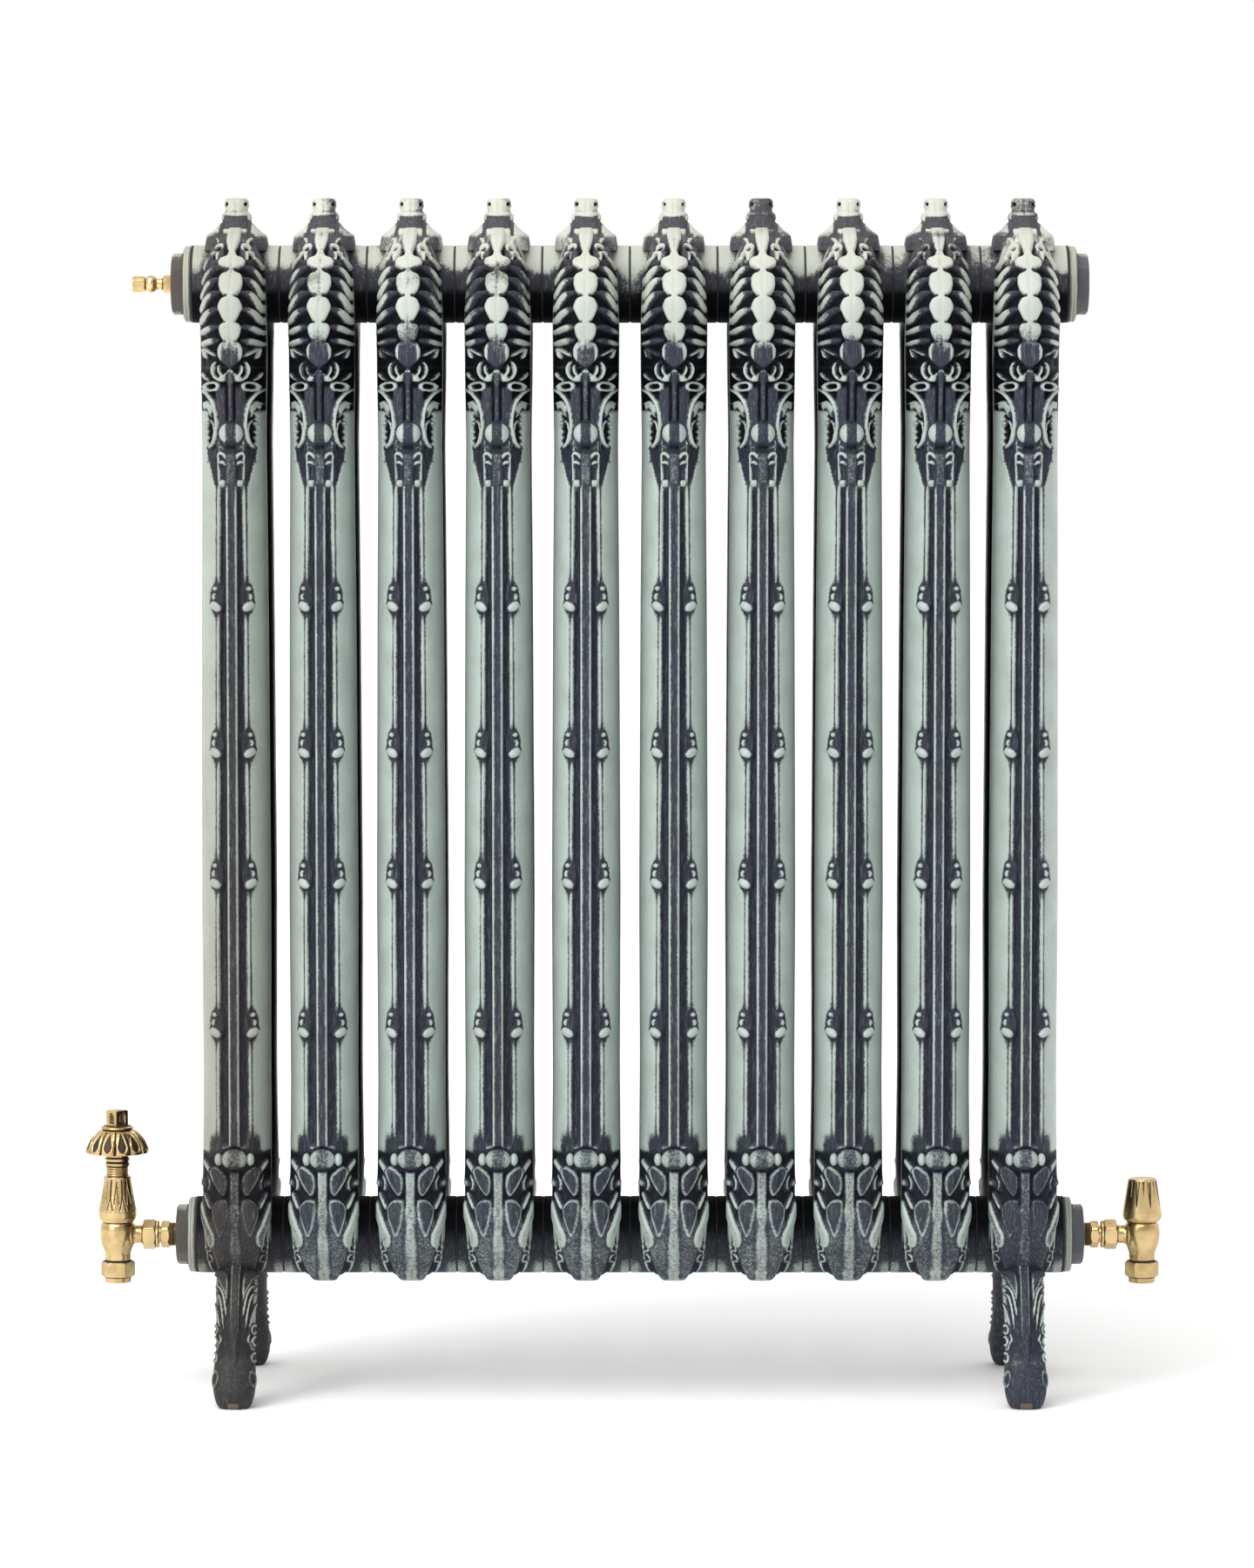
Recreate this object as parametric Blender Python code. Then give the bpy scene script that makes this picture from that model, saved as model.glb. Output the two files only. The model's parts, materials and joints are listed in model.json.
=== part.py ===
"""Two-column ornamental cast iron radiator: ten sections on nipples, cast legs on the end sections,
a thermostatic valve, a lockshield valve, an air vent and a blank plug.

Units are metres, +Z is up, the sections stand in a row along X and the front faces -Y.
The origin lies on the floor, midway between the outermost points of the two valves.
"""
import math

import bmesh
import bpy

# ---------------------------------------------------------------- driving dimensions
SECTION_COUNT = 10
SECTION_PITCH = 0.070
TOP_HUB_Z = 0.8915
BOTTOM_HUB_Z = 0.1235
CROWN_TOP_Z = 0.960
WALL = 0.0045
HUB_RADIUS = 0.0302
HUB_BORE_RADIUS = 0.0213
JOINT_GAP = 0.0012
FIT_GAP = 0.0003
ROUND_SIDES = 12

NIPPLE_LENGTH = 0.035
NIPPLE_RADIUS = HUB_BORE_RADIUS - FIT_GAP
NIPPLE_BORE_RADIUS = 0.0165

GASKET_THICKNESS = 0.0012
FLANGE_THICKNESS = 0.006
FLANGE_RADIUS = 0.0305
BUSHING_HEX_LENGTH = 0.0098
BUSHING_HEX_FLATS = 0.0425
SHANK_LENGTH = 0.016
VALVE_THREAD_RADIUS = 0.0104
VENT_THREAD_RADIUS = 0.0050

VALVE_AXIS_FROM_BUSHING = 0.0484
HANDWHEEL_RADIUS = 0.0256
CAP_RADIUS = 0.0159

# A station of the casting: inner point, outer point (distance from the middle plane, height) and
# half width. They run from under the bottom hub, up the front column, to the crown.
STATIONS = (
    ((0.000, 0.178), (0.000, 0.0865), 0.0225),
    ((0.014, 0.184), (0.060, 0.0920), 0.0235),
    ((0.019, 0.205), (0.087, 0.1350), 0.0268),
    ((0.019, 0.262), (0.089, 0.2550), 0.0275),
    ((0.019, 0.745), (0.088, 0.7500), 0.0265),
    ((0.019, 0.812), (0.097, 0.8250), 0.0275),
    ((0.015, 0.840), (0.098, 0.8800), 0.0280),
    ((0.006, 0.850), (0.055, 0.9250), 0.0255),
    ((0.000, 0.851), (0.000, 0.9420), 0.0230),
)
CASTING_SIDES = 8
FULLNESS = 0.80

# A slice through the front leg: centre distance from the middle plane, height, half depth, half width.
LEG_SLICES = (
    (0.054, 0.118, 0.020, 0.0190),
    (0.067, 0.092, 0.022, 0.0182),
    (0.080, 0.066, 0.018, 0.0160),
    (0.088, 0.045, 0.0145, 0.0155),
    (0.097, 0.026, 0.0155, 0.0172),
    (0.103, 0.010, 0.0155, 0.0165),
    (0.104, 0.000, 0.0120, 0.0125),
)
LEG_SIDES = 8

FIRST_SECTION_X = -0.5 * (SECTION_COUNT - 1) * SECTION_PITCH
HUB_HALF_LENGTH = 0.5 * (SECTION_PITCH - JOINT_GAP)
HUB_FACE_X = 0.5 * SECTION_COUNT * SECTION_PITCH - 0.5 * JOINT_GAP
FLANGE_FACE_X = HUB_FACE_X + GASKET_THICKNESS + 2 * FIT_GAP
BUSHING_END_X = FLANGE_FACE_X + FLANGE_THICKNESS + BUSHING_HEX_LENGTH
VALVE_AXIS_X = BUSHING_END_X + VALVE_AXIS_FROM_BUSHING
CENTRE_X = 0.5 * (HANDWHEEL_RADIUS - CAP_RADIUS)


# ---------------------------------------------------------------- scene and materials
def clear_scene():
    for old in list(bpy.data.objects):
        bpy.data.objects.remove(old, do_unlink=True)


def make_material(name, colour, roughness, metallic):
    material = bpy.data.materials.new(name)
    material.use_nodes = True
    shader = material.node_tree.nodes["Principled BSDF"]
    shader.inputs["Base Color"].default_value = (*colour, 1.0)
    shader.inputs["Roughness"].default_value = roughness
    shader.inputs["Metallic"].default_value = metallic
    return material


def make_materials():
    return {
        "paint": make_material("sage_paint", (0.36, 0.41, 0.35), 0.45, 0.1),
        "fittings": make_material("patina_fitting", (0.20, 0.23, 0.22), 0.50, 0.2),
        "brass": make_material("antique_brass", (0.52, 0.36, 0.13), 0.30, 1.0),
        "steel": make_material("bare_steel", (0.50, 0.50, 0.50), 0.40, 1.0),
        "rubber": make_material("black_gasket", (0.03, 0.03, 0.03), 0.80, 0.0),
        "capsule": make_material("sensor_shell", (0.75, 0.72, 0.66), 0.50, 0.0),
    }


# ---------------------------------------------------------------- turned pieces
def round_ring(radius, height):
    return height, lambda angle: radius


def flat_sided_ring(apothem, height, flats):
    """A ring of points on a regular polygon that has a corner at angle 0."""
    half = math.pi / flats
    return height, lambda angle: apothem / math.cos(angle % (2 * half) - half)


def hex_ring(apothem, height):
    return flat_sided_ring(apothem, height, 6)


def square_ring(half_side, height):
    return flat_sided_ring(half_side, height, 4)


def petal_ring(radius, height, petals, dip):
    return height, lambda angle: radius - dip * 0.5 * (1.0 - math.cos(petals * angle))


def pole(height):
    return height, None


def turned_mesh(name, rings, sides):
    """A closed mesh through rings about local Z. From pole to pole it is solid; with no poles the
    last ring joins the first, which makes a tube."""
    shape = bmesh.new()
    loops = []
    for height, radius_at in rings:
        if radius_at is None:
            loops.append([shape.verts.new((0.0, 0.0, height))])
            continue
        loop = []
        for index in range(sides):
            angle = 2 * math.pi * index / sides
            radius = radius_at(angle)
            loop.append(shape.verts.new((radius * math.cos(angle), radius * math.sin(angle), height)))
        loops.append(loop)
    following = loops[1:] if rings[0][1] is None else loops[1:] + loops[:1]
    for lower, upper in zip(loops, following):
        join_loops(shape, lower, upper)
    return finish_mesh(shape, name)


def join_loops(shape, lower, upper):
    count = max(len(lower), len(upper))
    for index in range(count):
        after = (index + 1) % count
        if len(lower) == 1:
            shape.faces.new((lower[0], upper[after], upper[index]))
        elif len(upper) == 1:
            shape.faces.new((lower[index], lower[after], upper[0]))
        else:
            shape.faces.new((lower[index], lower[after], upper[after], upper[index]))


def finish_mesh(shape, name):
    bmesh.ops.recalc_face_normals(shape, faces=shape.faces)
    mesh = bpy.data.meshes.new(name)
    shape.to_mesh(mesh)
    shape.free()
    mesh.shade_smooth()
    mesh.set_sharp_from_angle(angle=math.radians(35.0))
    return mesh


# ---------------------------------------------------------------- objects
def place(name, mesh, material, parent, location=(0.0, 0.0, 0.0), rotation=(0.0, 0.0, 0.0)):
    piece = bpy.data.objects.new(name, mesh)
    bpy.context.scene.collection.objects.link(piece)
    if material is not None and not mesh.materials:
        mesh.materials.append(material)
    piece.parent = parent
    piece.location = location
    piece.rotation_euler = rotation
    return piece


def combine(base, tools, operation):
    """Adds an exact Boolean with all the tools at once; they are hidden guides."""
    group = bpy.data.collections.new("tools")
    bpy.context.scene.collection.children.link(group)
    for tool in tools:
        tool.hide_render = True
        tool.display_type = "WIRE"
        group.objects.link(tool)
    modifier = base.modifiers.new(operation.lower(), "BOOLEAN")
    modifier.operation = operation
    modifier.operand_type = "COLLECTION"
    modifier.collection = group


def settle(piece):
    """Applies the Booleans of a piece and removes their tools."""
    groups = [modifier.collection for modifier in piece.modifiers]
    graph = bpy.context.evaluated_depsgraph_get()
    mesh = bpy.data.meshes.new_from_object(piece.evaluated_get(graph))
    mesh.name = piece.data.name
    piece.modifiers.clear()
    piece.data = mesh
    for group in groups:
        for tool in list(group.objects):
            bpy.data.objects.remove(tool, do_unlink=True)
        bpy.data.collections.remove(group)
    mesh.shade_smooth()
    mesh.set_sharp_from_angle(angle=math.radians(35.0))


ALONG_X = (0.0, 0.5 * math.pi, 0.0)
AGAINST_X = (0.0, -0.5 * math.pi, 0.0)


# ---------------------------------------------------------------- sections
def signed_power(value, power):
    return math.copysign(abs(value) ** power, value)


def casting_ring(name, inset):
    """The casting's two columns and bends: a rounded slice carried round the gap between them."""
    front = [(-1.0, station) for station in STATIONS]
    rear = [(1.0, station) for station in reversed(STATIONS[1:-1])]
    shape = bmesh.new()
    loops = []
    for facing, (inner, outer, half_width) in front + rear:
        across = (outer[0] - inner[0], outer[1] - inner[1])
        length = math.hypot(*across)
        loop = []
        for index in range(CASTING_SIDES):
            angle = 2 * math.pi * (index + 0.5) / CASTING_SIDES
            reach = (0.5 * length - inset) * signed_power(math.cos(angle), FULLNESS) / length
            offset = (half_width - inset) * signed_power(math.sin(angle), FULLNESS)
            depth = 0.5 * (inner[0] + outer[0]) + across[0] * reach
            height = 0.5 * (inner[1] + outer[1]) + across[1] * reach
            loop.append(shape.verts.new((offset, facing * depth, height)))
        loops.append(loop)
    for lower, upper in zip(loops, loops[1:] + loops[:1]):
        join_loops(shape, lower, upper)
    return finish_mesh(shape, name)


def leg_mesh(name, facing):
    shape = bmesh.new()
    loops = []
    for depth, height, half_depth, half_width in LEG_SLICES:
        loop = []
        for index in range(LEG_SIDES):
            angle = 2 * math.pi * (index + 0.5) / LEG_SIDES
            x = half_width * signed_power(math.sin(angle), FULLNESS)
            y = facing * depth + half_depth * signed_power(math.cos(angle), FULLNESS)
            loop.append(shape.verts.new((x, y, height)))
        loops.append(loop)
    for upper, lower in zip(loops, loops[1:]):
        join_loops(shape, lower, upper)
    shape.faces.new(loops[0])
    shape.faces.new(loops[-1])
    return finish_mesh(shape, name)


def crown_mesh(name):
    """The small ridge on top of the section, narrow across and long from front to rear."""
    shape = bmesh.new()
    loops = []
    for height, half_width, half_depth in ((0.925, 0.0150, 0.030), (0.948, 0.0095, 0.017),
                                           (CROWN_TOP_Z, 0.0090, 0.009)):
        corners = ((-1, -1), (1, -1), (1, 1), (-1, 1))
        loops.append([shape.verts.new((x * half_width, y * half_depth, height)) for x, y in corners])
    for lower, upper in zip(loops, loops[1:]):
        join_loops(shape, lower, upper)
    shape.faces.new(loops[0])
    shape.faces.new(loops[-1])
    return finish_mesh(shape, name)


def cylinder_along_x(name, radius, half_length, height):
    rings = (pole(-half_length), round_ring(radius, -half_length),
             round_ring(radius, half_length), pole(half_length))
    mesh = turned_mesh(name, rings, ROUND_SIDES)
    return place(name, mesh, None, None, (0.0, 0.0, height), ALONG_X)


def section_mesh(name, material, with_legs):
    """One casting: columns, bends, hubs and crown, hollowed by its waterway and its hub bores."""
    casting = place(name, casting_ring(name, 0.0), None, None)
    solids = [place("crown", crown_mesh("crown"), None, None)]
    hollows = [place("waterway", casting_ring("waterway", WALL), None, None)]
    for hub_z in (BOTTOM_HUB_Z, TOP_HUB_Z):
        solids.append(cylinder_along_x("hub", HUB_RADIUS, HUB_HALF_LENGTH, hub_z))
        hollows.append(cylinder_along_x("bore", HUB_BORE_RADIUS, SECTION_PITCH, hub_z))
    if with_legs:
        for facing in (-1.0, 1.0):
            solids.append(place("leg", leg_mesh("leg", facing), None, None))
    combine(casting, solids, "UNION")
    combine(casting, hollows, "DIFFERENCE")
    settle(casting)
    mesh = casting.data
    mesh.materials.clear()
    mesh.materials.append(material)
    bpy.data.objects.remove(casting, do_unlink=True)
    return mesh


def add_sections(materials, origin):
    middle = section_mesh("section_middle", materials["paint"], False)
    ending = section_mesh("section_with_legs", materials["paint"], True)
    for number in range(1, SECTION_COUNT + 1):
        mesh = ending if number in (1, SECTION_COUNT) else middle
        x = FIRST_SECTION_X + (number - 1) * SECTION_PITCH
        place(f"section_{number:02d}", mesh, None, origin, (x, 0.0, 0.0))


def add_nipples(materials, origin):
    half = 0.5 * NIPPLE_LENGTH
    rings = (round_ring(NIPPLE_RADIUS, -half), round_ring(NIPPLE_RADIUS, half),
             round_ring(NIPPLE_BORE_RADIUS, half), round_ring(NIPPLE_BORE_RADIUS, -half))
    mesh = turned_mesh("nipple", rings, ROUND_SIDES)
    for level, height in (("bottom", BOTTOM_HUB_Z), ("top", TOP_HUB_Z)):
        for joint in range(1, SECTION_COUNT):
            x = FIRST_SECTION_X + (joint - 0.5) * SECTION_PITCH
            place(f"{level}_nipple_{joint}", mesh, materials["steel"], origin, (x, 0.0, height), ALONG_X)


# ---------------------------------------------------------------- bushings and plug
def bushing_mesh(name, bore_radius):
    """Shank in the hub, flange and hexagon, along local Z with the flange's seat at 0."""
    outer = (
        round_ring(NIPPLE_RADIUS, -SHANK_LENGTH),
        round_ring(NIPPLE_RADIUS, 0.0),
        round_ring(FLANGE_RADIUS, 0.0),
        round_ring(FLANGE_RADIUS, FLANGE_THICKNESS),
        hex_ring(0.5 * BUSHING_HEX_FLATS, FLANGE_THICKNESS),
        hex_ring(0.5 * BUSHING_HEX_FLATS, FLANGE_THICKNESS + BUSHING_HEX_LENGTH),
    )
    top = FLANGE_THICKNESS + BUSHING_HEX_LENGTH
    if bore_radius > 0.0:
        inner = (round_ring(bore_radius, top), round_ring(bore_radius, -SHANK_LENGTH))
        return turned_mesh(name, outer + inner, ROUND_SIDES)
    hollow = (pole(0.0), round_ring(NIPPLE_BORE_RADIUS, 0.0), round_ring(NIPPLE_BORE_RADIUS, -SHANK_LENGTH))
    return turned_mesh(name, hollow + outer + (pole(top),), ROUND_SIDES)


def gasket_mesh(name):
    inner = HUB_BORE_RADIUS + FIT_GAP
    outer = HUB_RADIUS - FIT_GAP
    rings = (round_ring(outer, 0.0), round_ring(outer, GASKET_THICKNESS),
             round_ring(inner, GASKET_THICKNESS), round_ring(inner, 0.0))
    return turned_mesh(name, rings, ROUND_SIDES)


def add_bushings(materials, origin):
    seats = (
        ("air_vent_bushing", -1, TOP_HUB_Z, VENT_THREAD_RADIUS),
        ("blank_plug", 1, TOP_HUB_Z, 0.0),
        ("thermostatic_valve_bushing", -1, BOTTOM_HUB_Z, VALVE_THREAD_RADIUS),
        ("lockshield_bushing", 1, BOTTOM_HUB_Z, VALVE_THREAD_RADIUS),
    )
    for name, side, height, bore_radius in seats:
        turn = ALONG_X if side > 0 else AGAINST_X
        mesh = bushing_mesh(name, bore_radius)
        place(name, mesh, materials["fittings"], origin, (side * FLANGE_FACE_X, 0.0, height), turn)
        gasket = gasket_mesh(name + "_gasket")
        seat = side * (HUB_FACE_X + FIT_GAP)
        place(name + "_gasket", gasket, materials["rubber"], origin, (seat, 0.0, height), turn)


# ---------------------------------------------------------------- air vent
VENT_HEX_FLATS = 0.0125
VENT_SCREW_RADIUS = 0.0022


def add_air_vent(materials, origin):
    """Local Z points away from the radiator; the bushing's outer face is at 0."""
    thread = VENT_THREAD_RADIUS - FIT_GAP
    hex_end = 0.0072
    ball_start = 0.0125
    ball_end = 0.0215
    bore = VENT_SCREW_RADIUS + 0.0003
    body_rings = (
        round_ring(thread, -0.0090),
        round_ring(thread, FIT_GAP),
        hex_ring(0.5 * VENT_HEX_FLATS, FIT_GAP),
        hex_ring(0.5 * VENT_HEX_FLATS, hex_end),
        round_ring(0.0044, hex_end),
        round_ring(0.0044, ball_start),
        round_ring(0.0064, ball_start + 0.0020),
        round_ring(0.0071, 0.5 * (ball_start + ball_end)),
        round_ring(0.0064, ball_end - 0.0020),
        round_ring(0.0052, ball_end),
        round_ring(bore, ball_end),
        round_ring(bore, -0.0090),
    )
    face = -BUSHING_END_X
    body = turned_mesh("air_vent_body", body_rings, ROUND_SIDES)
    place("air_vent_body", body, materials["brass"], origin, (face, 0.0, TOP_HUB_Z), AGAINST_X)
    knob_start = ball_end + 0.0004
    knob_end = knob_start + 0.0100
    screw_rings = (
        pole(0.0040),
        round_ring(VENT_SCREW_RADIUS, 0.0040),
        round_ring(VENT_SCREW_RADIUS, knob_start),
        hex_ring(0.0057, knob_start),
        hex_ring(0.0057, knob_end),
        round_ring(0.0025, knob_end),
        round_ring(0.0025, knob_end - 0.0050),
        pole(knob_end - 0.0050),
    )
    screw = turned_mesh("air_vent_bleed_screw", screw_rings, ROUND_SIDES)
    place("air_vent_bleed_screw", screw, materials["brass"], origin, (face, 0.0, TOP_HUB_Z), AGAINST_X)


# ---------------------------------------------------------------- valves
# Heights along a valve's upright axis are measured from its horizontal connection.
PIPE_RADIUS = 0.0076
BODY_THREAD_RADIUS = 0.0089
BODY_THREAD_END = -0.0300
BODY_SHOULDER = -0.0212
SPIGOT_RADIUS = 0.0085
SPIGOT_TOP = 0.0165
SLEEVE_START = 0.0104
PASSAGE_RADIUS = 0.0050
PIN_BORE_RADIUS = 0.0033
SPINDLE_BORE_RADIUS = 0.0053
NUT_TOP = -0.0218
NUT_HEX_END = -0.0342
NUT_END = -0.0390
NUT_FLATS = 0.0240
OLIVE_END = -0.0344
BRANCH_END = 0.0205
BRANCH_THREAD_END = 0.0275
BRANCH_RADIUS = 0.0074
BRANCH_THREAD_RADIUS = 0.0090
UNION_NUT_END = 0.0338
UNION_NUT_FLATS = 0.0215
TAIL_HEX_START = 0.0355
TAIL_HEX_END = 0.0420
TAIL_LENGTH = VALVE_AXIS_FROM_BUSHING + 0.0110


def valve_body(name, material, origin, location, turn, stem_bore):
    upright = (
        round_ring(BODY_THREAD_RADIUS, BODY_THREAD_END),
        round_ring(BODY_THREAD_RADIUS, BODY_SHOULDER),
        round_ring(0.0103, BODY_SHOULDER + FIT_GAP),
        round_ring(0.0106, -0.0150),
        round_ring(0.0132, -0.0075),
        round_ring(0.0144, 0.0000),
        round_ring(0.0143, 0.0055),
        round_ring(0.0128, SLEEVE_START - FIT_GAP),
        round_ring(SPIGOT_RADIUS, SLEEVE_START - FIT_GAP),
        round_ring(SPIGOT_RADIUS, SPIGOT_TOP),
        round_ring(stem_bore, SPIGOT_TOP),
        round_ring(stem_bore, 0.0070),
        round_ring(PASSAGE_RADIUS, 0.0070),
        round_ring(PASSAGE_RADIUS, -0.0160),
        round_ring(PIPE_RADIUS, -0.0160),
        round_ring(PIPE_RADIUS, BODY_THREAD_END),
    )
    body = place(name, turned_mesh(name, upright, ROUND_SIDES), material, origin, location, turn)
    branch_rings = (
        pole(0.0080),
        round_ring(BRANCH_RADIUS, 0.0080),
        round_ring(BRANCH_RADIUS, BRANCH_END),
        round_ring(BRANCH_THREAD_RADIUS, BRANCH_END),
        round_ring(BRANCH_THREAD_RADIUS, BRANCH_THREAD_END),
        pole(BRANCH_THREAD_END),
    )
    branch = place("branch", turned_mesh("branch", branch_rings, ROUND_SIDES), None, body, (0, 0, 0), ALONG_X)
    way_rings = (pole(0.0), round_ring(0.0046, 0.0), round_ring(0.0046, 0.04), pole(0.04))
    way = place("way", turned_mesh("way", way_rings, ROUND_SIDES), None, body, (0, 0, 0), ALONG_X)
    combine(body, [branch], "UNION")
    combine(body, [way], "DIFFERENCE")
    bpy.context.view_layer.update()
    settle(body)


def compression_nut_mesh(name):
    rings = (
        hex_ring(0.5 * NUT_FLATS, NUT_TOP),
        hex_ring(0.5 * NUT_FLATS, NUT_HEX_END),
        round_ring(0.0108, NUT_HEX_END),
        round_ring(0.0108, NUT_END),
        round_ring(PIPE_RADIUS, NUT_END),
        round_ring(PIPE_RADIUS, NUT_HEX_END - 0.0005),
        round_ring(BODY_THREAD_RADIUS + FIT_GAP, NUT_HEX_END - 0.0005),
        round_ring(BODY_THREAD_RADIUS + FIT_GAP, NUT_TOP),
    )
    return turned_mesh(name, rings, ROUND_SIDES)


def olive_mesh(name):
    rings = (
        round_ring(0.0084, OLIVE_END),
        round_ring(BODY_THREAD_RADIUS, 0.5 * (OLIVE_END + BODY_THREAD_END)),
        round_ring(0.0084, BODY_THREAD_END - FIT_GAP),
        round_ring(PIPE_RADIUS, BODY_THREAD_END - FIT_GAP),
        round_ring(PIPE_RADIUS, OLIVE_END),
    )
    return turned_mesh(name, rings, ROUND_SIDES)


def union_nut_mesh(name):
    inner = BRANCH_THREAD_RADIUS + FIT_GAP
    start = BRANCH_END + FIT_GAP
    rings = (
        hex_ring(0.5 * UNION_NUT_FLATS, start),
        hex_ring(0.5 * UNION_NUT_FLATS, UNION_NUT_END),
        round_ring(0.0070, UNION_NUT_END),
        round_ring(0.0070, UNION_NUT_END - 0.0025),
        round_ring(inner, UNION_NUT_END - 0.0025),
        round_ring(inner, start),
    )
    return turned_mesh(name, rings, ROUND_SIDES)


def tailpiece_mesh(name):
    collar_start = BRANCH_THREAD_END + FIT_GAP
    collar_end = UNION_NUT_END - 0.0025 - FIT_GAP
    rings = (
        round_ring(0.0088, collar_start),
        round_ring(0.0088, collar_end),
        round_ring(0.0067, collar_end),
        round_ring(0.0067, TAIL_HEX_START),
        hex_ring(0.0100, TAIL_HEX_START),
        hex_ring(0.0100, TAIL_HEX_END),
        round_ring(VALVE_THREAD_RADIUS - FIT_GAP, TAIL_HEX_END),
        round_ring(VALVE_THREAD_RADIUS - FIT_GAP, TAIL_LENGTH),
        round_ring(0.0050, TAIL_LENGTH),
        round_ring(0.0050, collar_start),
    )
    return turned_mesh(name, rings, ROUND_SIDES)


def add_valve_base(prefix, materials, origin, axis_x, turn, stem_bore):
    """The pieces that both valves share. The turn points the branch at the radiator."""
    brass = materials["brass"]
    location = (axis_x, 0.0, BOTTOM_HUB_Z)
    along_branch = (0.0, 0.5 * math.pi, turn)
    upright = (0.0, 0.0, turn)
    valve_body(prefix + "_body", brass, origin, location, upright, stem_bore)
    nut = compression_nut_mesh(prefix + "_compression_nut")
    place(prefix + "_compression_nut", nut, brass, origin, location, upright)
    place(prefix + "_olive", olive_mesh(prefix + "_olive"), brass, origin, location, upright)
    union_nut = union_nut_mesh(prefix + "_union_nut")
    place(prefix + "_union_nut", union_nut, brass, origin, location, along_branch)
    tailpiece = tailpiece_mesh(prefix + "_tailpiece")
    place(prefix + "_tailpiece", tailpiece, brass, origin, location, along_branch)


# ---------------------------------------------------------------- thermostatic head
SLEEVE_END = 0.0474
NECK_TOP = 0.0660
NECK_BORE_RADIUS = 0.0060
WHEEL_RIM_Z = 0.0663
WHEEL_TOP_Z = 0.0860
WHEEL_PETALS = 12
PIN_TOP = 0.0290


def add_thermostatic_valve(materials, origin):
    brass = materials["brass"]
    location = (-VALVE_AXIS_X, 0.0, BOTTOM_HUB_Z)
    add_valve_base("thermostatic_valve", materials, origin, -VALVE_AXIS_X, 0.0, PIN_BORE_RADIUS)
    sleeve_rings = (
        round_ring(0.0136, SLEEVE_START),
        round_ring(0.0152, SLEEVE_START + 0.0050),
        round_ring(0.0152, SLEEVE_START + 0.0090),
        round_ring(0.0130, SLEEVE_START + 0.0220),
        round_ring(0.0107, SLEEVE_END),
        round_ring(0.0075, SLEEVE_END),
        round_ring(0.0075, SPIGOT_TOP + 0.0005),
        round_ring(SPIGOT_RADIUS + FIT_GAP, SPIGOT_TOP + 0.0005),
        round_ring(SPIGOT_RADIUS + FIT_GAP, SLEEVE_START),
    )
    sleeve = turned_mesh("fluted_sleeve", sleeve_rings, 16)
    place("thermostatic_valve_fluted_sleeve", sleeve, brass, origin, location)
    neck_rings = (
        round_ring(0.0072, SLEEVE_END - 0.0100),
        round_ring(0.0072, SLEEVE_END + FIT_GAP),
        round_ring(0.0090, SLEEVE_END + FIT_GAP),
        round_ring(0.0090, SLEEVE_END + 0.0075),
        round_ring(0.0100, SLEEVE_END + 0.0085),
        round_ring(0.0100, NECK_TOP),
        round_ring(NECK_BORE_RADIUS, NECK_TOP),
        round_ring(NECK_BORE_RADIUS, SLEEVE_END - 0.0100),
    )
    neck = turned_mesh("ringed_neck", neck_rings, ROUND_SIDES)
    place("thermostatic_valve_ringed_neck", neck, brass, origin, location)
    stem_radius = NECK_BORE_RADIUS - 0.0004
    dip = 0.0014
    wheel_rings = (
        pole(0.0520),
        round_ring(stem_radius, 0.0520),
        round_ring(stem_radius, WHEEL_RIM_Z + 0.0090),
        round_ring(0.0150, WHEEL_RIM_Z + 0.0100),
        petal_ring(HANDWHEEL_RADIUS - 0.0040, WHEEL_RIM_Z + 0.0010, WHEEL_PETALS, dip),
        petal_ring(HANDWHEEL_RADIUS, WHEEL_RIM_Z + 0.0006, WHEEL_PETALS, dip),
        petal_ring(0.0235, WHEEL_RIM_Z + 0.0090, WHEEL_PETALS, dip),
        petal_ring(0.0190, WHEEL_RIM_Z + 0.0155, WHEEL_PETALS, 0.5 * dip),
        round_ring(0.0120, WHEEL_TOP_Z),
        round_ring(0.0032, WHEEL_TOP_Z),
        round_ring(0.0032, WHEEL_TOP_Z - 0.0080),
        pole(WHEEL_TOP_Z - 0.0080),
    )
    wheel = turned_mesh("petalled_handwheel", wheel_rings, 2 * WHEEL_PETALS)
    place("thermostatic_valve_handwheel", wheel, brass, origin, location)
    finial_rings = (
        pole(WHEEL_TOP_Z - 0.0070),
        round_ring(0.0029, WHEEL_TOP_Z - 0.0070),
        round_ring(0.0029, WHEEL_TOP_Z + FIT_GAP),
        round_ring(0.0134, WHEEL_TOP_Z + FIT_GAP),
        round_ring(0.0122, WHEEL_TOP_Z + 0.0022),
        square_ring(0.0062, WHEEL_TOP_Z + 0.0022),
        square_ring(0.0062, WHEEL_TOP_Z + 0.0155),
        pole(WHEEL_TOP_Z + 0.0155),
    )
    finial = turned_mesh("square_finial", finial_rings, ROUND_SIDES)
    quarter = (0.0, 0.0, 0.5 * math.pi)
    place("thermostatic_valve_finial", finial, brass, origin, location, quarter)
    sensor_rings = (
        pole(PIN_TOP + FIT_GAP),
        round_ring(0.0030, PIN_TOP + FIT_GAP),
        round_ring(0.0050, PIN_TOP + 0.0030),
        round_ring(0.0050, 0.0517),
        pole(0.0517),
    )
    sensor = turned_mesh("wax_sensor", sensor_rings, ROUND_SIDES)
    place("thermostatic_valve_sensor", sensor, materials["capsule"], origin, location)
    pin_rings = (
        pole(-0.0050),
        round_ring(0.0042, -0.0050),
        round_ring(0.0042, -0.0020),
        round_ring(0.0014, -0.0020),
        round_ring(0.0014, PIN_TOP),
        pole(PIN_TOP),
    )
    pin = turned_mesh("valve_pin", pin_rings, ROUND_SIDES)
    place("thermostatic_valve_pin", pin, materials["steel"], origin, location)


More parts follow.
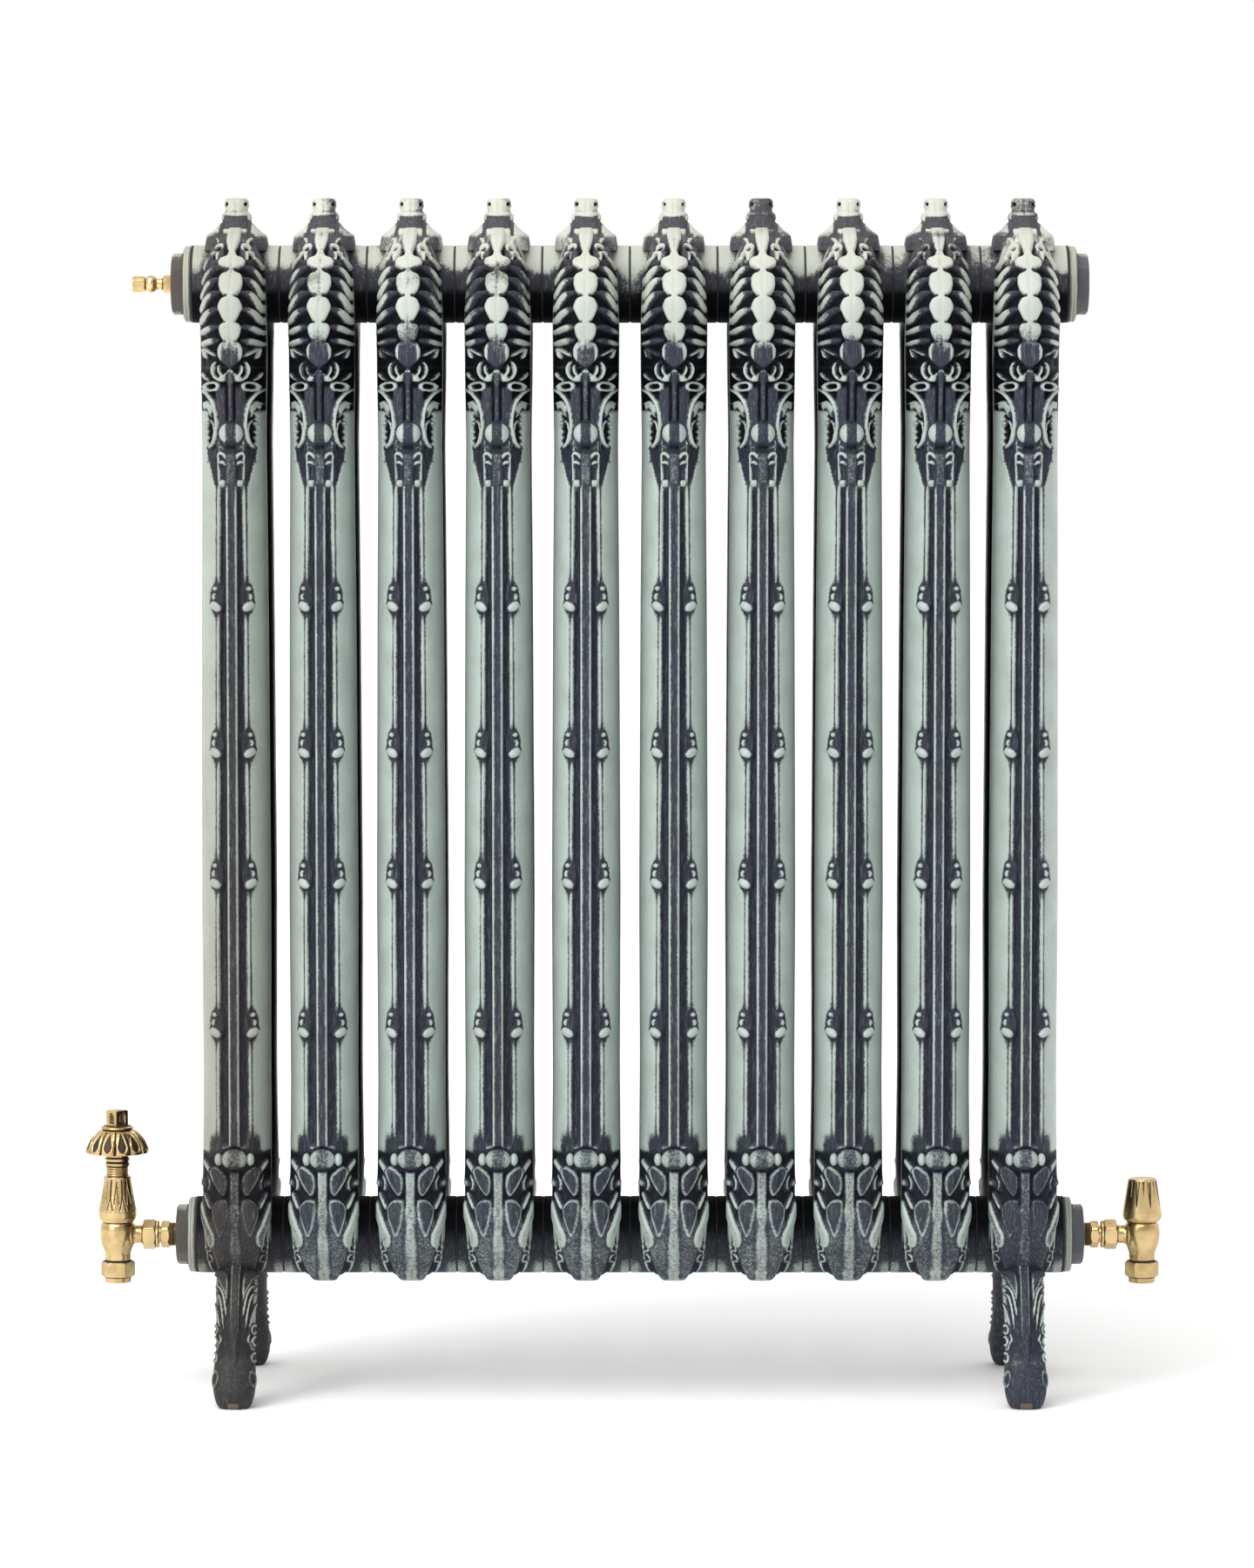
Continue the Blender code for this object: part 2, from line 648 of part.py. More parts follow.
# ---------------------------------------------------------------- lockshield
CAP_TOP = 0.0456
CAP_BORE_TOP = 0.0380


def add_lockshield(materials, origin):
    brass = materials["brass"]
    location = (VALVE_AXIS_X, 0.0, BOTTOM_HUB_Z)
    add_valve_base("lockshield", materials, origin, VALVE_AXIS_X, math.pi, SPINDLE_BORE_RADIUS)
    cap_rings = (
        pole(CAP_BORE_TOP),
        round_ring(0.0070, CAP_BORE_TOP),
        round_ring(0.0070, SPIGOT_TOP + 0.0040),
        round_ring(SPIGOT_RADIUS + FIT_GAP, SPIGOT_TOP + 0.0010),
        round_ring(SPIGOT_RADIUS + FIT_GAP, SLEEVE_START),
        round_ring(0.0136, SLEEVE_START),
        round_ring(CAP_RADIUS, SLEEVE_START + 0.0045),
        round_ring(0.0154, SLEEVE_START + 0.0085),
        round_ring(0.0112, CAP_TOP),
        pole(CAP_TOP),
    )
    cap = turned_mesh("lockshield_cap", cap_rings, 16)
    place("lockshield_cap", cap, brass, origin, location)
    spindle_rings = (
        pole(0.0022),
        round_ring(0.0016, 0.0022),
        round_ring(0.0016, 0.0085),
        round_ring(SPINDLE_BORE_RADIUS - FIT_GAP, 0.0085),
        round_ring(SPINDLE_BORE_RADIUS - FIT_GAP, SPIGOT_TOP + FIT_GAP),
        round_ring(0.0064, SPIGOT_TOP + FIT_GAP),
        round_ring(0.0064, 0.0225),
        square_ring(0.0045, 0.0225),
        square_ring(0.0045, 0.0345),
        pole(0.0345),
    )
    spindle = turned_mesh("lockshield_spindle", spindle_rings, ROUND_SIDES)
    place("lockshield_spindle", spindle, brass, origin, location)
    cone_rings = (
        pole(-0.0090),
        round_ring(0.0018, -0.0090),
        round_ring(0.0042, -0.0060),
        round_ring(0.0042, -0.0035),
        round_ring(0.0026, -0.0030),
        round_ring(0.0026, 0.0030),
        round_ring(0.0019, 0.0030),
        round_ring(0.0019, -0.0020),
        pole(-0.0020),
    )
    cone = turned_mesh("lockshield_cone", cone_rings, ROUND_SIDES)
    place("lockshield_cone", cone, brass, origin, location)


def build():
    clear_scene()
    materials = make_materials()
    origin = bpy.data.objects.new("radiator_middle", None)
    bpy.context.scene.collection.objects.link(origin)
    origin.location = (CENTRE_X, 0.0, 0.0)
    add_sections(materials, origin)
    add_nipples(materials, origin)
    add_bushings(materials, origin)
    add_air_vent(materials, origin)
    add_thermostatic_valve(materials, origin)
    add_lockshield(materials, origin)


build()
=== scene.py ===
import json
import math

import bpy
import numpy as np
from mathutils import Matrix, Vector

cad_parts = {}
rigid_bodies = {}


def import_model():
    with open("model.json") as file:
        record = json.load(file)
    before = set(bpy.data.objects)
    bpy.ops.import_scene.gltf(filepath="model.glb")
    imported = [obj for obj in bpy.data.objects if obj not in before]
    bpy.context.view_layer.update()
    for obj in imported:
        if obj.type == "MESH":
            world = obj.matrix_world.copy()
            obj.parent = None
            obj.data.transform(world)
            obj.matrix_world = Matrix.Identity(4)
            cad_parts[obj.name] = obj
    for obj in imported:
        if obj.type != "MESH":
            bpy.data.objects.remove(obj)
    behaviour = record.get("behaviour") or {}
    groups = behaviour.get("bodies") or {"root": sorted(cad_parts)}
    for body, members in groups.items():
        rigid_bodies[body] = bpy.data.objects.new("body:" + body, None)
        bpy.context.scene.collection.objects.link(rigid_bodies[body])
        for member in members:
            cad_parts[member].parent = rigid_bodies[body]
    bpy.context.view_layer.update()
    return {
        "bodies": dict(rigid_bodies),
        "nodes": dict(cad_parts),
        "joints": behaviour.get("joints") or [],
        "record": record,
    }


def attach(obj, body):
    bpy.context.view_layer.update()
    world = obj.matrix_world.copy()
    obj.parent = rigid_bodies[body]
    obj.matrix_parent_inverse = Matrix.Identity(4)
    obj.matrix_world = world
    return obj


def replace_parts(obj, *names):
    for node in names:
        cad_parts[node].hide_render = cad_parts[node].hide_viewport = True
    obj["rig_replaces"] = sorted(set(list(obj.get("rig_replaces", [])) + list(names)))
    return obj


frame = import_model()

MM = 0.001

# ================================================================ sizes, in millimetres
SECTION_COUNT = 10
SECTION_PITCH = 70.0
CENTRE_X = 4.85
FIRST_SECTION_X = CENTRE_X - 0.5 * (SECTION_COUNT - 1) * SECTION_PITCH
TOP_HUB_Z = 891.5
BOTTOM_HUB_Z = 123.5
HUB_RADIUS = 31.0
GASKET_BORE = 22.6
GASKET_THICKNESS = 1.5
HUB_HALF_LENGTH = 34.4
FLANGE_FACE = 351.2
BUSHING_END = 367.0
VALVE_AXIS = 415.4

# Stations of the casting: inner point, outer point (distance from the middle plane, height), half width.
STATIONS = (
    ((0.0, 178.0), (0.0, 87.5), 24.0),
    ((14.0, 184.0), (60.0, 95.0), 26.4),
    ((19.0, 205.0), (87.0, 135.0), 27.6),
    ((19.0, 262.0), (89.0, 255.0), 26.9),
    ((19.0, 400.0), (89.0, 400.0), 27.5),
    ((19.0, 640.0), (88.0, 640.0), 26.4),
    ((19.0, 770.0), (90.0, 775.0), 25.4),
    ((19.0, 812.0), (97.0, 825.0), 26.3),
    ((15.0, 840.0), (98.0, 880.0), 26.6),
    ((6.0, 850.0), (55.0, 925.0), 25.0),
    ((0.0, 851.0), (0.0, 942.0), 23.0),
)
FULLNESS = 0.80
LOW_FULLNESS = 0.58
# How far the widest place of a slice lies inwards of its middle, as a share of its depth.
BACK_SET = 0.16
LEG_GLAZE = 0.16
KNOT_HEIGHTS = (650.5, 534.5, 430.5, 311.5)
FINE_BANDS = ((733.0, 965.0), (86.0, 212.0))
# Spacing of the grid, mm: down the casting in the ornament and between it, and round a slice.
FINE_STEP = 0.85
PLAIN_STEP = 5.0
REAR_COARSENING = 2.0
FACE_STEP = 0.80
BEHIND_STEP = 5.0
SLICE_HALF_WIDTH = 27.0
SLICE_HALF_DEPTH = 35.0
# The ornament stays inside this share of a slice's half width.
CARVED_SHARE = 0.955
HUB_SIDES = 96
# Places on each piece of a smooth curve, and how far outside the curve its distance is worked out, mm.
CURVE_STEPS = 7
CURVE_REACH = 6.0

# Slices of a leg: centre distance from the middle plane, height, half depth, half width.
LEG_SLICES = (
    (40.0, 126.0, 12.0, 9.0),
    (50.0, 110.0, 17.0, 14.0),
    (64.0, 94.0, 21.2, 17.2),
    (80.0, 66.0, 18.0, 15.8),
    (88.0, 45.0, 14.5, 15.3),
    (97.0, 27.0, 15.3, 16.9),
    (102.0, 15.0, 15.8, 17.0),
    (103.6, 6.0, 14.6, 15.6),
    (104.0, 1.2, 12.4, 13.0),
    (104.0, 0.0, 11.2, 11.8),
)

# Rings of the crown on top of a section: height, half width, half depth.
CROWN_RINGS = (
    (918.0, 25.4, 44.0),
    (924.3, 24.8, 40.0),
    (928.6, 24.0, 35.0),
    (930.7, 22.8, 33.0),
    (933.9, 19.0, 29.0),
    (937.1, 15.4, 25.5),
    (940.3, 13.0, 22.5),
    (943.5, 11.9, 20.0),
    (947.2, 11.2, 16.6),
    (949.6, 9.2, 14.4),
    (951.8, 8.9, 13.2),
    (954.0, 9.7, 12.4),
    (957.0, 9.5, 11.2),
    (959.3, 8.4, 9.6),
    (960.0, 6.4, 7.4),
)


# ================================================================ stage, in metres and degrees
FLOOR_HALF = 40.0
FLOOR_HEIGHT = -0.0002
SUN_PLACE = (-1.3, -2.2, 4.0)
KEY_PLACE = (-2.6, -2.9, 2.3)
SUN_POWER = 1.6
KEY_POWER = 68.0
DIM_SKY = 0.56
WHITE_SKY = 1.03
CAMERA_PLACE = (0.0025, -5.0, 0.862)
CAMERA_DIP = 4.26
LENS_LENGTH_MM = 142.7


# ================================================================ small maths
def smooth(low, high, value):
    """0 below low, 1 above high, and an even S between them; low may be the larger."""
    t = np.clip((value - low) / (high - low), 0.0, 1.0)
    return t * t * (3.0 - 2.0 * t)


def mix(a, b, share):
    return a + (b - a) * share


def signed_power(value, power):
    return np.sign(value) * np.abs(value) ** power


def bell(value, centre, width):
    return np.exp(-((value - centre) / width) ** 2)


def curve_through(points):
    """An even curve through a few points."""
    p = np.array(points, float)
    padded = np.vstack((2 * p[0] - p[1], p, 2 * p[-1] - p[-2]))
    t = np.linspace(0.0, 1.0, CURVE_STEPS, endpoint=False)[:, None]
    line = []
    for a, b, c, d in zip(padded, padded[1:], padded[2:], padded[3:]):
        line.append(0.5 * (2 * b + (c - a) * t + (2 * a - 5 * b + 4 * c - d) * t ** 2
                           + (3 * b - a - 3 * c + d) * t ** 3))
    return np.vstack(line + [p[-1:]])


def spread(start, end, density):
    """Places between start and end, as close together as the density there asks."""
    fine = np.linspace(start, end, 20000)
    count = np.concatenate(([0.0], np.cumsum(0.5 * (density(fine[1:]) + density(fine[:-1])) * np.diff(fine))))
    total = max(4, int(round(count[-1])))
    return np.interp(np.arange(total) / total * count[-1], count, fine)


# ================================================================ carving the ornament
class Carving:
    """Relief height (mm) and patina over a face, from the distance u to its middle line and the height v.

    Patina is 0 on clean paint and 1 where the dark glaze is left; a painted shade value blackens the deepest
    hollows and the gaps around raised forms."""

    def __init__(self, u, v):
        self.u = u
        self.v = v
        self.height = np.zeros_like(u)
        self.patina = np.full_like(u, 0.10)
        self.soot = np.zeros_like(u)

    def near(self, points):
        low = points.min(0) - CURVE_REACH
        high = points.max(0) + CURVE_REACH
        return (self.u > low[0]) & (self.u < high[0]) & (self.v > low[1]) & (self.v < high[1])

    def curve(self, points, closed=False):
        """Distance to a curve through the points, and the share of the way along it."""
        given = list(points) + [points[0]] if closed else points
        line = curve_through(given)
        distance = np.full_like(self.u, 99.0)
        along = np.zeros_like(self.u)
        chosen = np.flatnonzero(self.near(line))
        u, v = self.u[chosen], self.v[chosen]
        best = np.full(len(chosen), 99.0)
        share = np.zeros(len(chosen))
        inside = np.zeros(len(chosen), bool)
        last = len(line) - 1
        for index in range(last):
            a, b = line[index], line[index + 1]
            step = b - a
            t = np.clip(((u - a[0]) * step[0] + (v - a[1]) * step[1]) / max(step @ step, 1e-9), 0.0, 1.0)
            gap = np.hypot(u - a[0] - t * step[0], v - a[1] - t * step[1])
            closer = gap < best
            best = np.where(closer, gap, best)
            share = np.where(closer, (index + t) / last, share)
            if closed:
                crosses = (a[1] > v) != (b[1] > v)
                rise = step[1] if abs(step[1]) > 1e-9 else 1e-9
                inside ^= crosses & (u < a[0] + (v - a[1]) / rise * step[0])
        if closed:
            best = np.where(inside, -best, best)
        distance[chosen] = best
        along[chosen] = share
        return distance, along

    def ellipse(self, centre, radii, tilt=0.0):
        turn = math.radians(tilt)
        du, dv = self.u - centre[0], self.v - centre[1]
        across = (du * math.cos(turn) + dv * math.sin(turn)) / radii[0]
        up = (-du * math.sin(turn) + dv * math.cos(turn)) / radii[1]
        return (np.hypot(across, up) - 1.0) * min(radii)

    def ground(self, share, height, patina, soot=0.0):
        """Sets the level, the glaze and the painted shade where share is 1."""
        self.height = mix(self.height, height, share)
        self.patina = mix(self.patina, patina, share)
        self.soot = mix(self.soot, soot, share)

    def lift(self, distance, top, soft, patina, base=-1.5, halo=1.1, shade=0.95):
        """Raises the inside of an outline, given by its distance (below 0 inside), to a rounded top."""
        share = np.clip(-distance / soft, 0.0, 1.0)
        round_share = np.sqrt(1.0 - (1.0 - share) ** 2)
        inside = distance < 0.0
        level = mix(base, top, round_share)
        self.height = np.where(inside, np.maximum(self.height, level), self.height)
        # Just outside the outline: a dark line of glaze, with painted shade.
        outline = smooth(halo, 0.0, distance) * (distance > 0.0)
        self.patina = np.maximum(self.patina, outline * shade)
        self.soot = np.maximum(self.soot, outline * 0.55 * shade)
        colour = mix(shade, patina, smooth(0.0, 0.45, share))
        self.patina = np.where(inside, colour, self.patina)
        self.soot = np.where(inside, self.soot * (1.0 - smooth(0.0, 0.3, share)), self.soot)

    def line(self, points, half_width, top, patina, base=-1.5, halo=0.9, ends=0.35, shade=0.95):
        """A raised line that thins towards its ends."""
        distance, along = self.curve(points)
        taper = np.minimum(1.0, ends + 3.0 * np.minimum(along, 1.0 - along))
        width = half_width * taper
        self.lift(distance - width, top, half_width, patina, base, halo, shade)

    def leaf(self, points, top, soft, patina, base=-1.5, edge=0.0):
        """A raised closed outline; edge gives it a paler rim."""
        distance, _ = self.curve(points, closed=True)
        self.lift(distance, top, soft, patina, base, 1.0)
        if edge > 0.0:
            rim = bell(distance, -1.1, 0.75) * (distance < 0.0)
            self.patina -= edge * rim
            self.height += 0.5 * rim

    def hole(self, distance, depth, soft=1.0):
        # A sunk hole, glazed and filled with painted shade.
        share = smooth(soft * 0.3, -soft, distance)
        self.height = mix(self.height, -depth, share)
        self.patina = np.maximum(self.patina, share)
        self.soot = np.maximum(self.soot, share)

    def groove(self, points, half_width, depth):
        # A sunk groove, glazed and given painted shade.
        distance, _ = self.curve(points)
        share = smooth(half_width, 0.0, distance)
        self.height -= depth * share
        self.patina = np.maximum(self.patina, share)
        self.soot = np.maximum(self.soot, 0.7 * share)


SPINE_HALF_WIDTHS = (
    (934.0, 6.4), (926.0, 6.2), (919.5, 4.6), (916.5, 3.4), (913.0, 5.0), (910.8, 10.2), (908.0, 11.6),
    (905.0, 10.6), (903.0, 6.0), (900.5, 3.8), (898.6, 8.4), (896.0, 10.0), (890.0, 10.3), (885.0, 8.6),
    (881.6, 4.9), (879.4, 8.0), (876.5, 9.4), (874.0, 10.4), (870.0, 9.6), (866.0, 7.8), (861.6, 5.4),
    (859.4, 8.6), (855.5, 9.6), (851.0, 8.6), (846.2, 6.2), (844.4, 8.6), (840.0, 10.6), (834.0, 10.3),
    (829.5, 7.4), (826.5, 3.4), (824.5, 0.0), (823.0, -3.0),
)
# Ribs: height at the spine, height at the flank, half width at the flank.
RIBS = (
    (914.6, 901.4, 1.3), (905.6, 890.4, 1.9), (896.0, 879.6, 2.4), (885.4, 869.8, 2.7), (871.4, 860.6, 3.2),
    (857.2, 852.4, 2.9), (846.6, 843.6, 2.7),
)


def carve_torso(work):
    """Spine plates, ribs and the hooks of the shoulders."""
    u, v = work.u, work.v
    cage = smooth(823.0, 827.0, v) * smooth(929.0, 921.0, v) * smooth(26.9, 25.9, u)
    work.ground(cage, -4.0, 0.95, 0.75)
    shoulder = smooth(900.0, 910.0, v - 0.35 * (25.0 - u)) * smooth(5.0, 8.0, u)
    streak = 0.14 * np.sin(1.7 * u + 0.6 * v)
    work.ground(shoulder * smooth(942.0, 930.0, v), -0.8, 0.66 + streak, 0.0)
    for inner, outer, half_width in RIBS:
        bow = 0.22 * (inner - outer)
        path = ((10.4, inner), (15.0, mix(inner, outer, 0.30) + bow), (20.4, mix(inner, outer, 0.64) + bow),
                (24.9, outer))
        distance, along = work.curve(path)
        taper = np.minimum(mix(0.62, 1.0, smooth(0.0, 0.45, along)), mix(0.72, 1.0, smooth(1.0, 0.90, along)))
        comb = 0.09 * np.sin(distance * 5.2)
        tone = mix(0.80, 0.04, smooth(0.10, 0.66, along)) + comb
        work.lift(distance - half_width * taper, 1.3, 1.15 * half_width, tone, base=-4.0, halo=0.9)
    for centre, radii, tilt in (((14.8, 924.4), (2.6, 1.9), 20), ((11.0, 919.4), (3.2, 1.4), -28),
                                ((14.0, 913.4), (2.7, 1.7), -12)):
        curl = work.ellipse((centre[0] - 0.4, centre[1] + 1.0), (radii[0] + 1.5, radii[1] + 1.5), tilt)
        work.lift(curl, 1.0, 1.4, 0.06, base=-0.8, halo=0.5, shade=0.6)
        work.hole(work.ellipse((centre[0] + 0.4, centre[1] - 0.4), radii, tilt), 4.0)
    work.line(((10.2, 917.0), (12.2, 913.2), (11.0, 908.6)), 1.3, 1.2, 0.08, base=-0.8, halo=0.5, shade=0.6)
    work.line(((4.0, 905.0), (7.2, 911.0), (8.0, 915.0)), 1.2, 0.6, 0.55, base=-0.8, halo=0.4, shade=0.8)
    heights, widths = np.array(SPINE_HALF_WIDTHS[::-1]).T
    plate = u - np.interp(v, heights, widths)
    worn = np.interp(v, (826, 838, 846, 856, 870, 935), (0.80, 0.76, 0.48, 0.20, 0.03, 0.02))
    worn = np.where((v < 846) & (u > 7.0), 0.10, worn)
    work.lift(np.where(v < 934.5, plate, 9.0), 2.4, 3.0, worn, base=-3.2, halo=1.0)
    # Cracks between the plates: sunk, glazed and given painted shade.
    for height in (901.6, 881.4, 861.4, 846.0):
        crack = bell(v, height, 1.0) * smooth(1.0, 3.0, u) * smooth(9.0, 6.5, u)
        work.height -= 1.2 * crack
        work.patina = np.maximum(work.patina, 0.95 * crack)
        work.soot = np.maximum(work.soot, 0.5 * crack)
    crease = bell(u, 0.0, 0.55) * smooth(829.0, 836.0, v) * smooth(935.0, 930.0, v)
    work.height -= 0.5 * crease
    work.patina += 0.22 * crease
    work.line(((25.0, 841.4), (19.0, 837.6), (12.5, 834.0)), 1.0, 1.4, 0.02, base=-3.4)
    work.line(((23.6, 840.6), (21.6, 832.0)), 0.9, 1.0, 0.02, base=-3.4)


def carve_mask(work):
    """Scrolls under the spine: moustache, eyes, upright bar and the two big C scrolls."""
    u, v = work.u, work.v
    panel = smooth(757.0, 760.0, v) * smooth(827.0, 823.0, v) * smooth(27.6, 26.6, u)
    work.ground(panel, -3.4, 0.97, 0.85)
    plates = smooth(3.6, 4.8, u) * smooth(14.5, 12.5, u) * smooth(755.0, 762.0, v) * smooth(812.0, 806.0, v)
    work.ground(plates, -1.2, 0.80, 0.0)
    outer_curl = ((13.2, 829.6), (14.6, 823.6), (13.0, 818.4), (9.0, 815.4), (3.6, 815.0))
    inner_curl = ((9.6, 827.0), (9.0, 821.8), (6.0, 818.8), (3.2, 820.4), (0.3, 823.8))
    work.line(outer_curl, 1.15, 2.0, 0.0, ends=0.6)
    work.line(inner_curl, 1.15, 1.9, 0.0, ends=0.6)
    work.lift(work.ellipse((6.4, 817.2), (3.4, 2.2), -8), 1.6, 1.6, 0.02, halo=0.3)
    work.lift(u - np.where((v > 812) & (v < 822), 2.6, -3.0), 0.9, 1.5, 0.72)
    work.line(((24.9, 821.5), (21.9, 816.9), (18.3, 815.2)), 1.0, 1.0, 0.08)
    loop = work.ellipse((16.0, 810.4), (5.9, 3.1), -4)
    work.lift(np.abs(loop) - 0.95, 1.4, 0.9, 0.0)
    work.hole(loop + 1.9, 4.2)
    bar = u - np.where((v > 781) & (v < 816), 2.3, -3.0)
    work.lift(bar, 0.6, 1.2, 0.70, base=-3.4)
    lobe = ((25.6, 808.0), (23.0, 806.6), (19.2, 804.0), (15.3, 799.0), (12.9, 793.0), (11.6, 785.0),
            (11.5, 776.6), (12.9, 769.2), (15.8, 764.2), (19.4, 761.4), (21.8, 763.2))
    work.line(lobe, 1.25, 2.4, 0.0, ends=0.6)
    work.line(((19.0, 761.5), (20.3, 756.0), (19.2, 750.6)), 1.1, 1.1, 0.10, base=-0.6)
    field = smooth(19.0, 20.6, u + 0.9 * np.sin(v * 1.3)) * smooth(750.0, 755.0, v) * smooth(793.0, 789.0, v)
    work.ground(field, 0.0, 0.12)
    for turn in range(3):
        inset = 2.0 * turn
        narrower = 0.3 * inset
        shell = ((24.5 - narrower, 796.4 - inset), (20.0, 798.2 - inset), (16.2 + narrower, 795.0 - inset),
                 (14.4 + narrower, 789.0 - 0.8 * inset))
        work.line(shell, 0.95, 1.6 - 0.2 * turn, 0.02 + 0.06 * turn, ends=0.6, halo=0.6)
    hook = ((19.4, 781.0), (17.0, 783.2), (14.6, 780.8), (13.7, 775.6), (14.3, 770.0), (16.6, 765.8))
    work.line(hook, 0.85, 1.3, 0.08)
    work.lift(work.ellipse((19.0, 781.3), (1.5, 1.5)), 1.6, 1.3, 0.05)


def carve_hood(work):
    """Dome with its brow, the two hoods under it and the blocks that end them."""
    u, v = work.u, work.v
    stain_edge = np.interp(v, (733.0, 752.0, 762.0), (14.0, 18.6, 20.5)) + 0.5 * np.sin(v * 2.1)
    stain = smooth(stain_edge + 0.8, stain_edge - 0.8, u) * smooth(728.0, 736.0, v) * smooth(764.0, 760.0, v)
    work.ground(stain, -1.1, 0.92, 0.45)
    work.ground(smooth(1.4, -0.6, work.ellipse((0.0, 773.4), (10.4, 9.6))), -1.0, 0.90, 0.4)
    work.groove(((9.6, 767.0), (5.6, 763.6), (3.6, 762.4)), 0.7, 0.9)
    work.line(((10.0, 769.0), (9.8, 762.0), (9.7, 757.0)), 0.8, 0.9, 0.12)
    work.line(((10.2, 763.6), (7.4, 762.4), (5.8, 760.2)), 0.7, 0.7, 0.35)
    work.line(((10.2, 752.0), (10.0, 756.2), (8.0, 758.0), (5.4, 756.2), (4.2, 753.0)), 1.3, 2.2, 0.0)
    work.line(((9.9, 746.0), (9.4, 749.6), (7.6, 751.2), (5.8, 750.0), (4.4, 748.6)), 1.1, 1.9, 0.04)
    work.line(((10.3, 756.0), (9.9, 745.0), (9.8, 733.0)), 0.95, 1.3, 0.12, ends=1.0)
    slot = np.maximum(np.abs(u - 6.8) - 2.1, np.abs(v - 742.0) - 5.2)
    work.hole(slot, 2.6, 0.8)
    work.patina = np.where(slot < 0.0, 0.86, work.patina)
    work.soot = np.where(slot < 0.0, 0.3, work.soot)
    ridge = u - np.where(v < 758.0, 4.3, -4.0)
    work.lift(np.where(v > 733.0, ridge, 9.0), 1.7, 2.6, 0.66, halo=0.2)
    block = np.hypot(np.maximum(np.abs(u - 6.9) - 1.3, 0.0), np.maximum(np.abs(v - 734.2) - 1.6, 0.0)) - 1.0
    work.lift(block, 2.2, 1.4, 0.03)


def carve_ridges(work):
    """Three ridges and two channels that run down the column, with a stippled stain beside them."""
    u, v = work.u, work.v
    side = np.interp(v, (205.0, 300.0, 500.0, 733.0), (12.5, 12.3, 11.4, 10.0))
    band = smooth(204.0, 210.0, v) * smooth(735.5, 731.5, v)
    stain = smooth(side + 4.4, side + 1.4, u)
    work.ground(band * stain, -0.5, 0.72, 0.35)
    channel = smooth(side - 0.9, side - 1.7, u)
    work.ground(band * channel, -3.2, 0.95, 0.45)
    inside_band = np.where(band > 0.5, 0.0, 9.0)
    ridge_tone = 0.14 + 0.12 * np.sin(v * 0.031) ** 2
    work.lift(np.abs(u - side) - 1.35 + inside_band, 1.5, 1.2, ridge_tone, base=-1.6, halo=1.1)
    middle_tone = mix(0.84, 0.16, smooth(2.0, 3.5, u))
    work.lift(u - 4.8 + inside_band, 2.1, 1.3, middle_tone, base=-3.0, halo=1.1)
    work.height -= 0.6 * bell(u, 0.0, 2.3) * band
    for height in KNOT_HEIGHTS:
        spread_out = 13.4 + (np.interp(height, (300.0, 733.0), (12.3, 10.0)) - 10.9)
        around = work.ellipse((spread_out - 0.6, height - 8.0), (5.2, 13.0))
        work.ground(smooth(2.0, -1.0, around), -0.8, 0.90, 0.35)
        work.lift(work.ellipse((spread_out, height + 0.4), (2.1, 2.1)), 2.8, 2.0, 0.02, base=-0.6)
        work.line(((spread_out + 0.2, height - 3.2), (spread_out + 1.8, height - 6.2),
                   (spread_out + 0.3, height - 9.4)), 1.35, 1.7, 0.08, base=-0.6)
        work.lift(work.ellipse((spread_out - 0.6, height - 13.8), (6.0, 4.0), 36), 3.6, 3.6, 0.02, base=-0.6)
        notch = work.ellipse((spread_out + 3.6, height - 11.0), (1.0, 0.9))
        work.hole(notch, 1.4)


# The tongue at the bottom: height, half width.
TONGUE = (
    (86.0, 7.0), (96.0, 12.0), (106.0, 16.4), (120.0, 20.4), (134.0, 21.6), (150.0, 20.0), (162.0, 12.0),
)


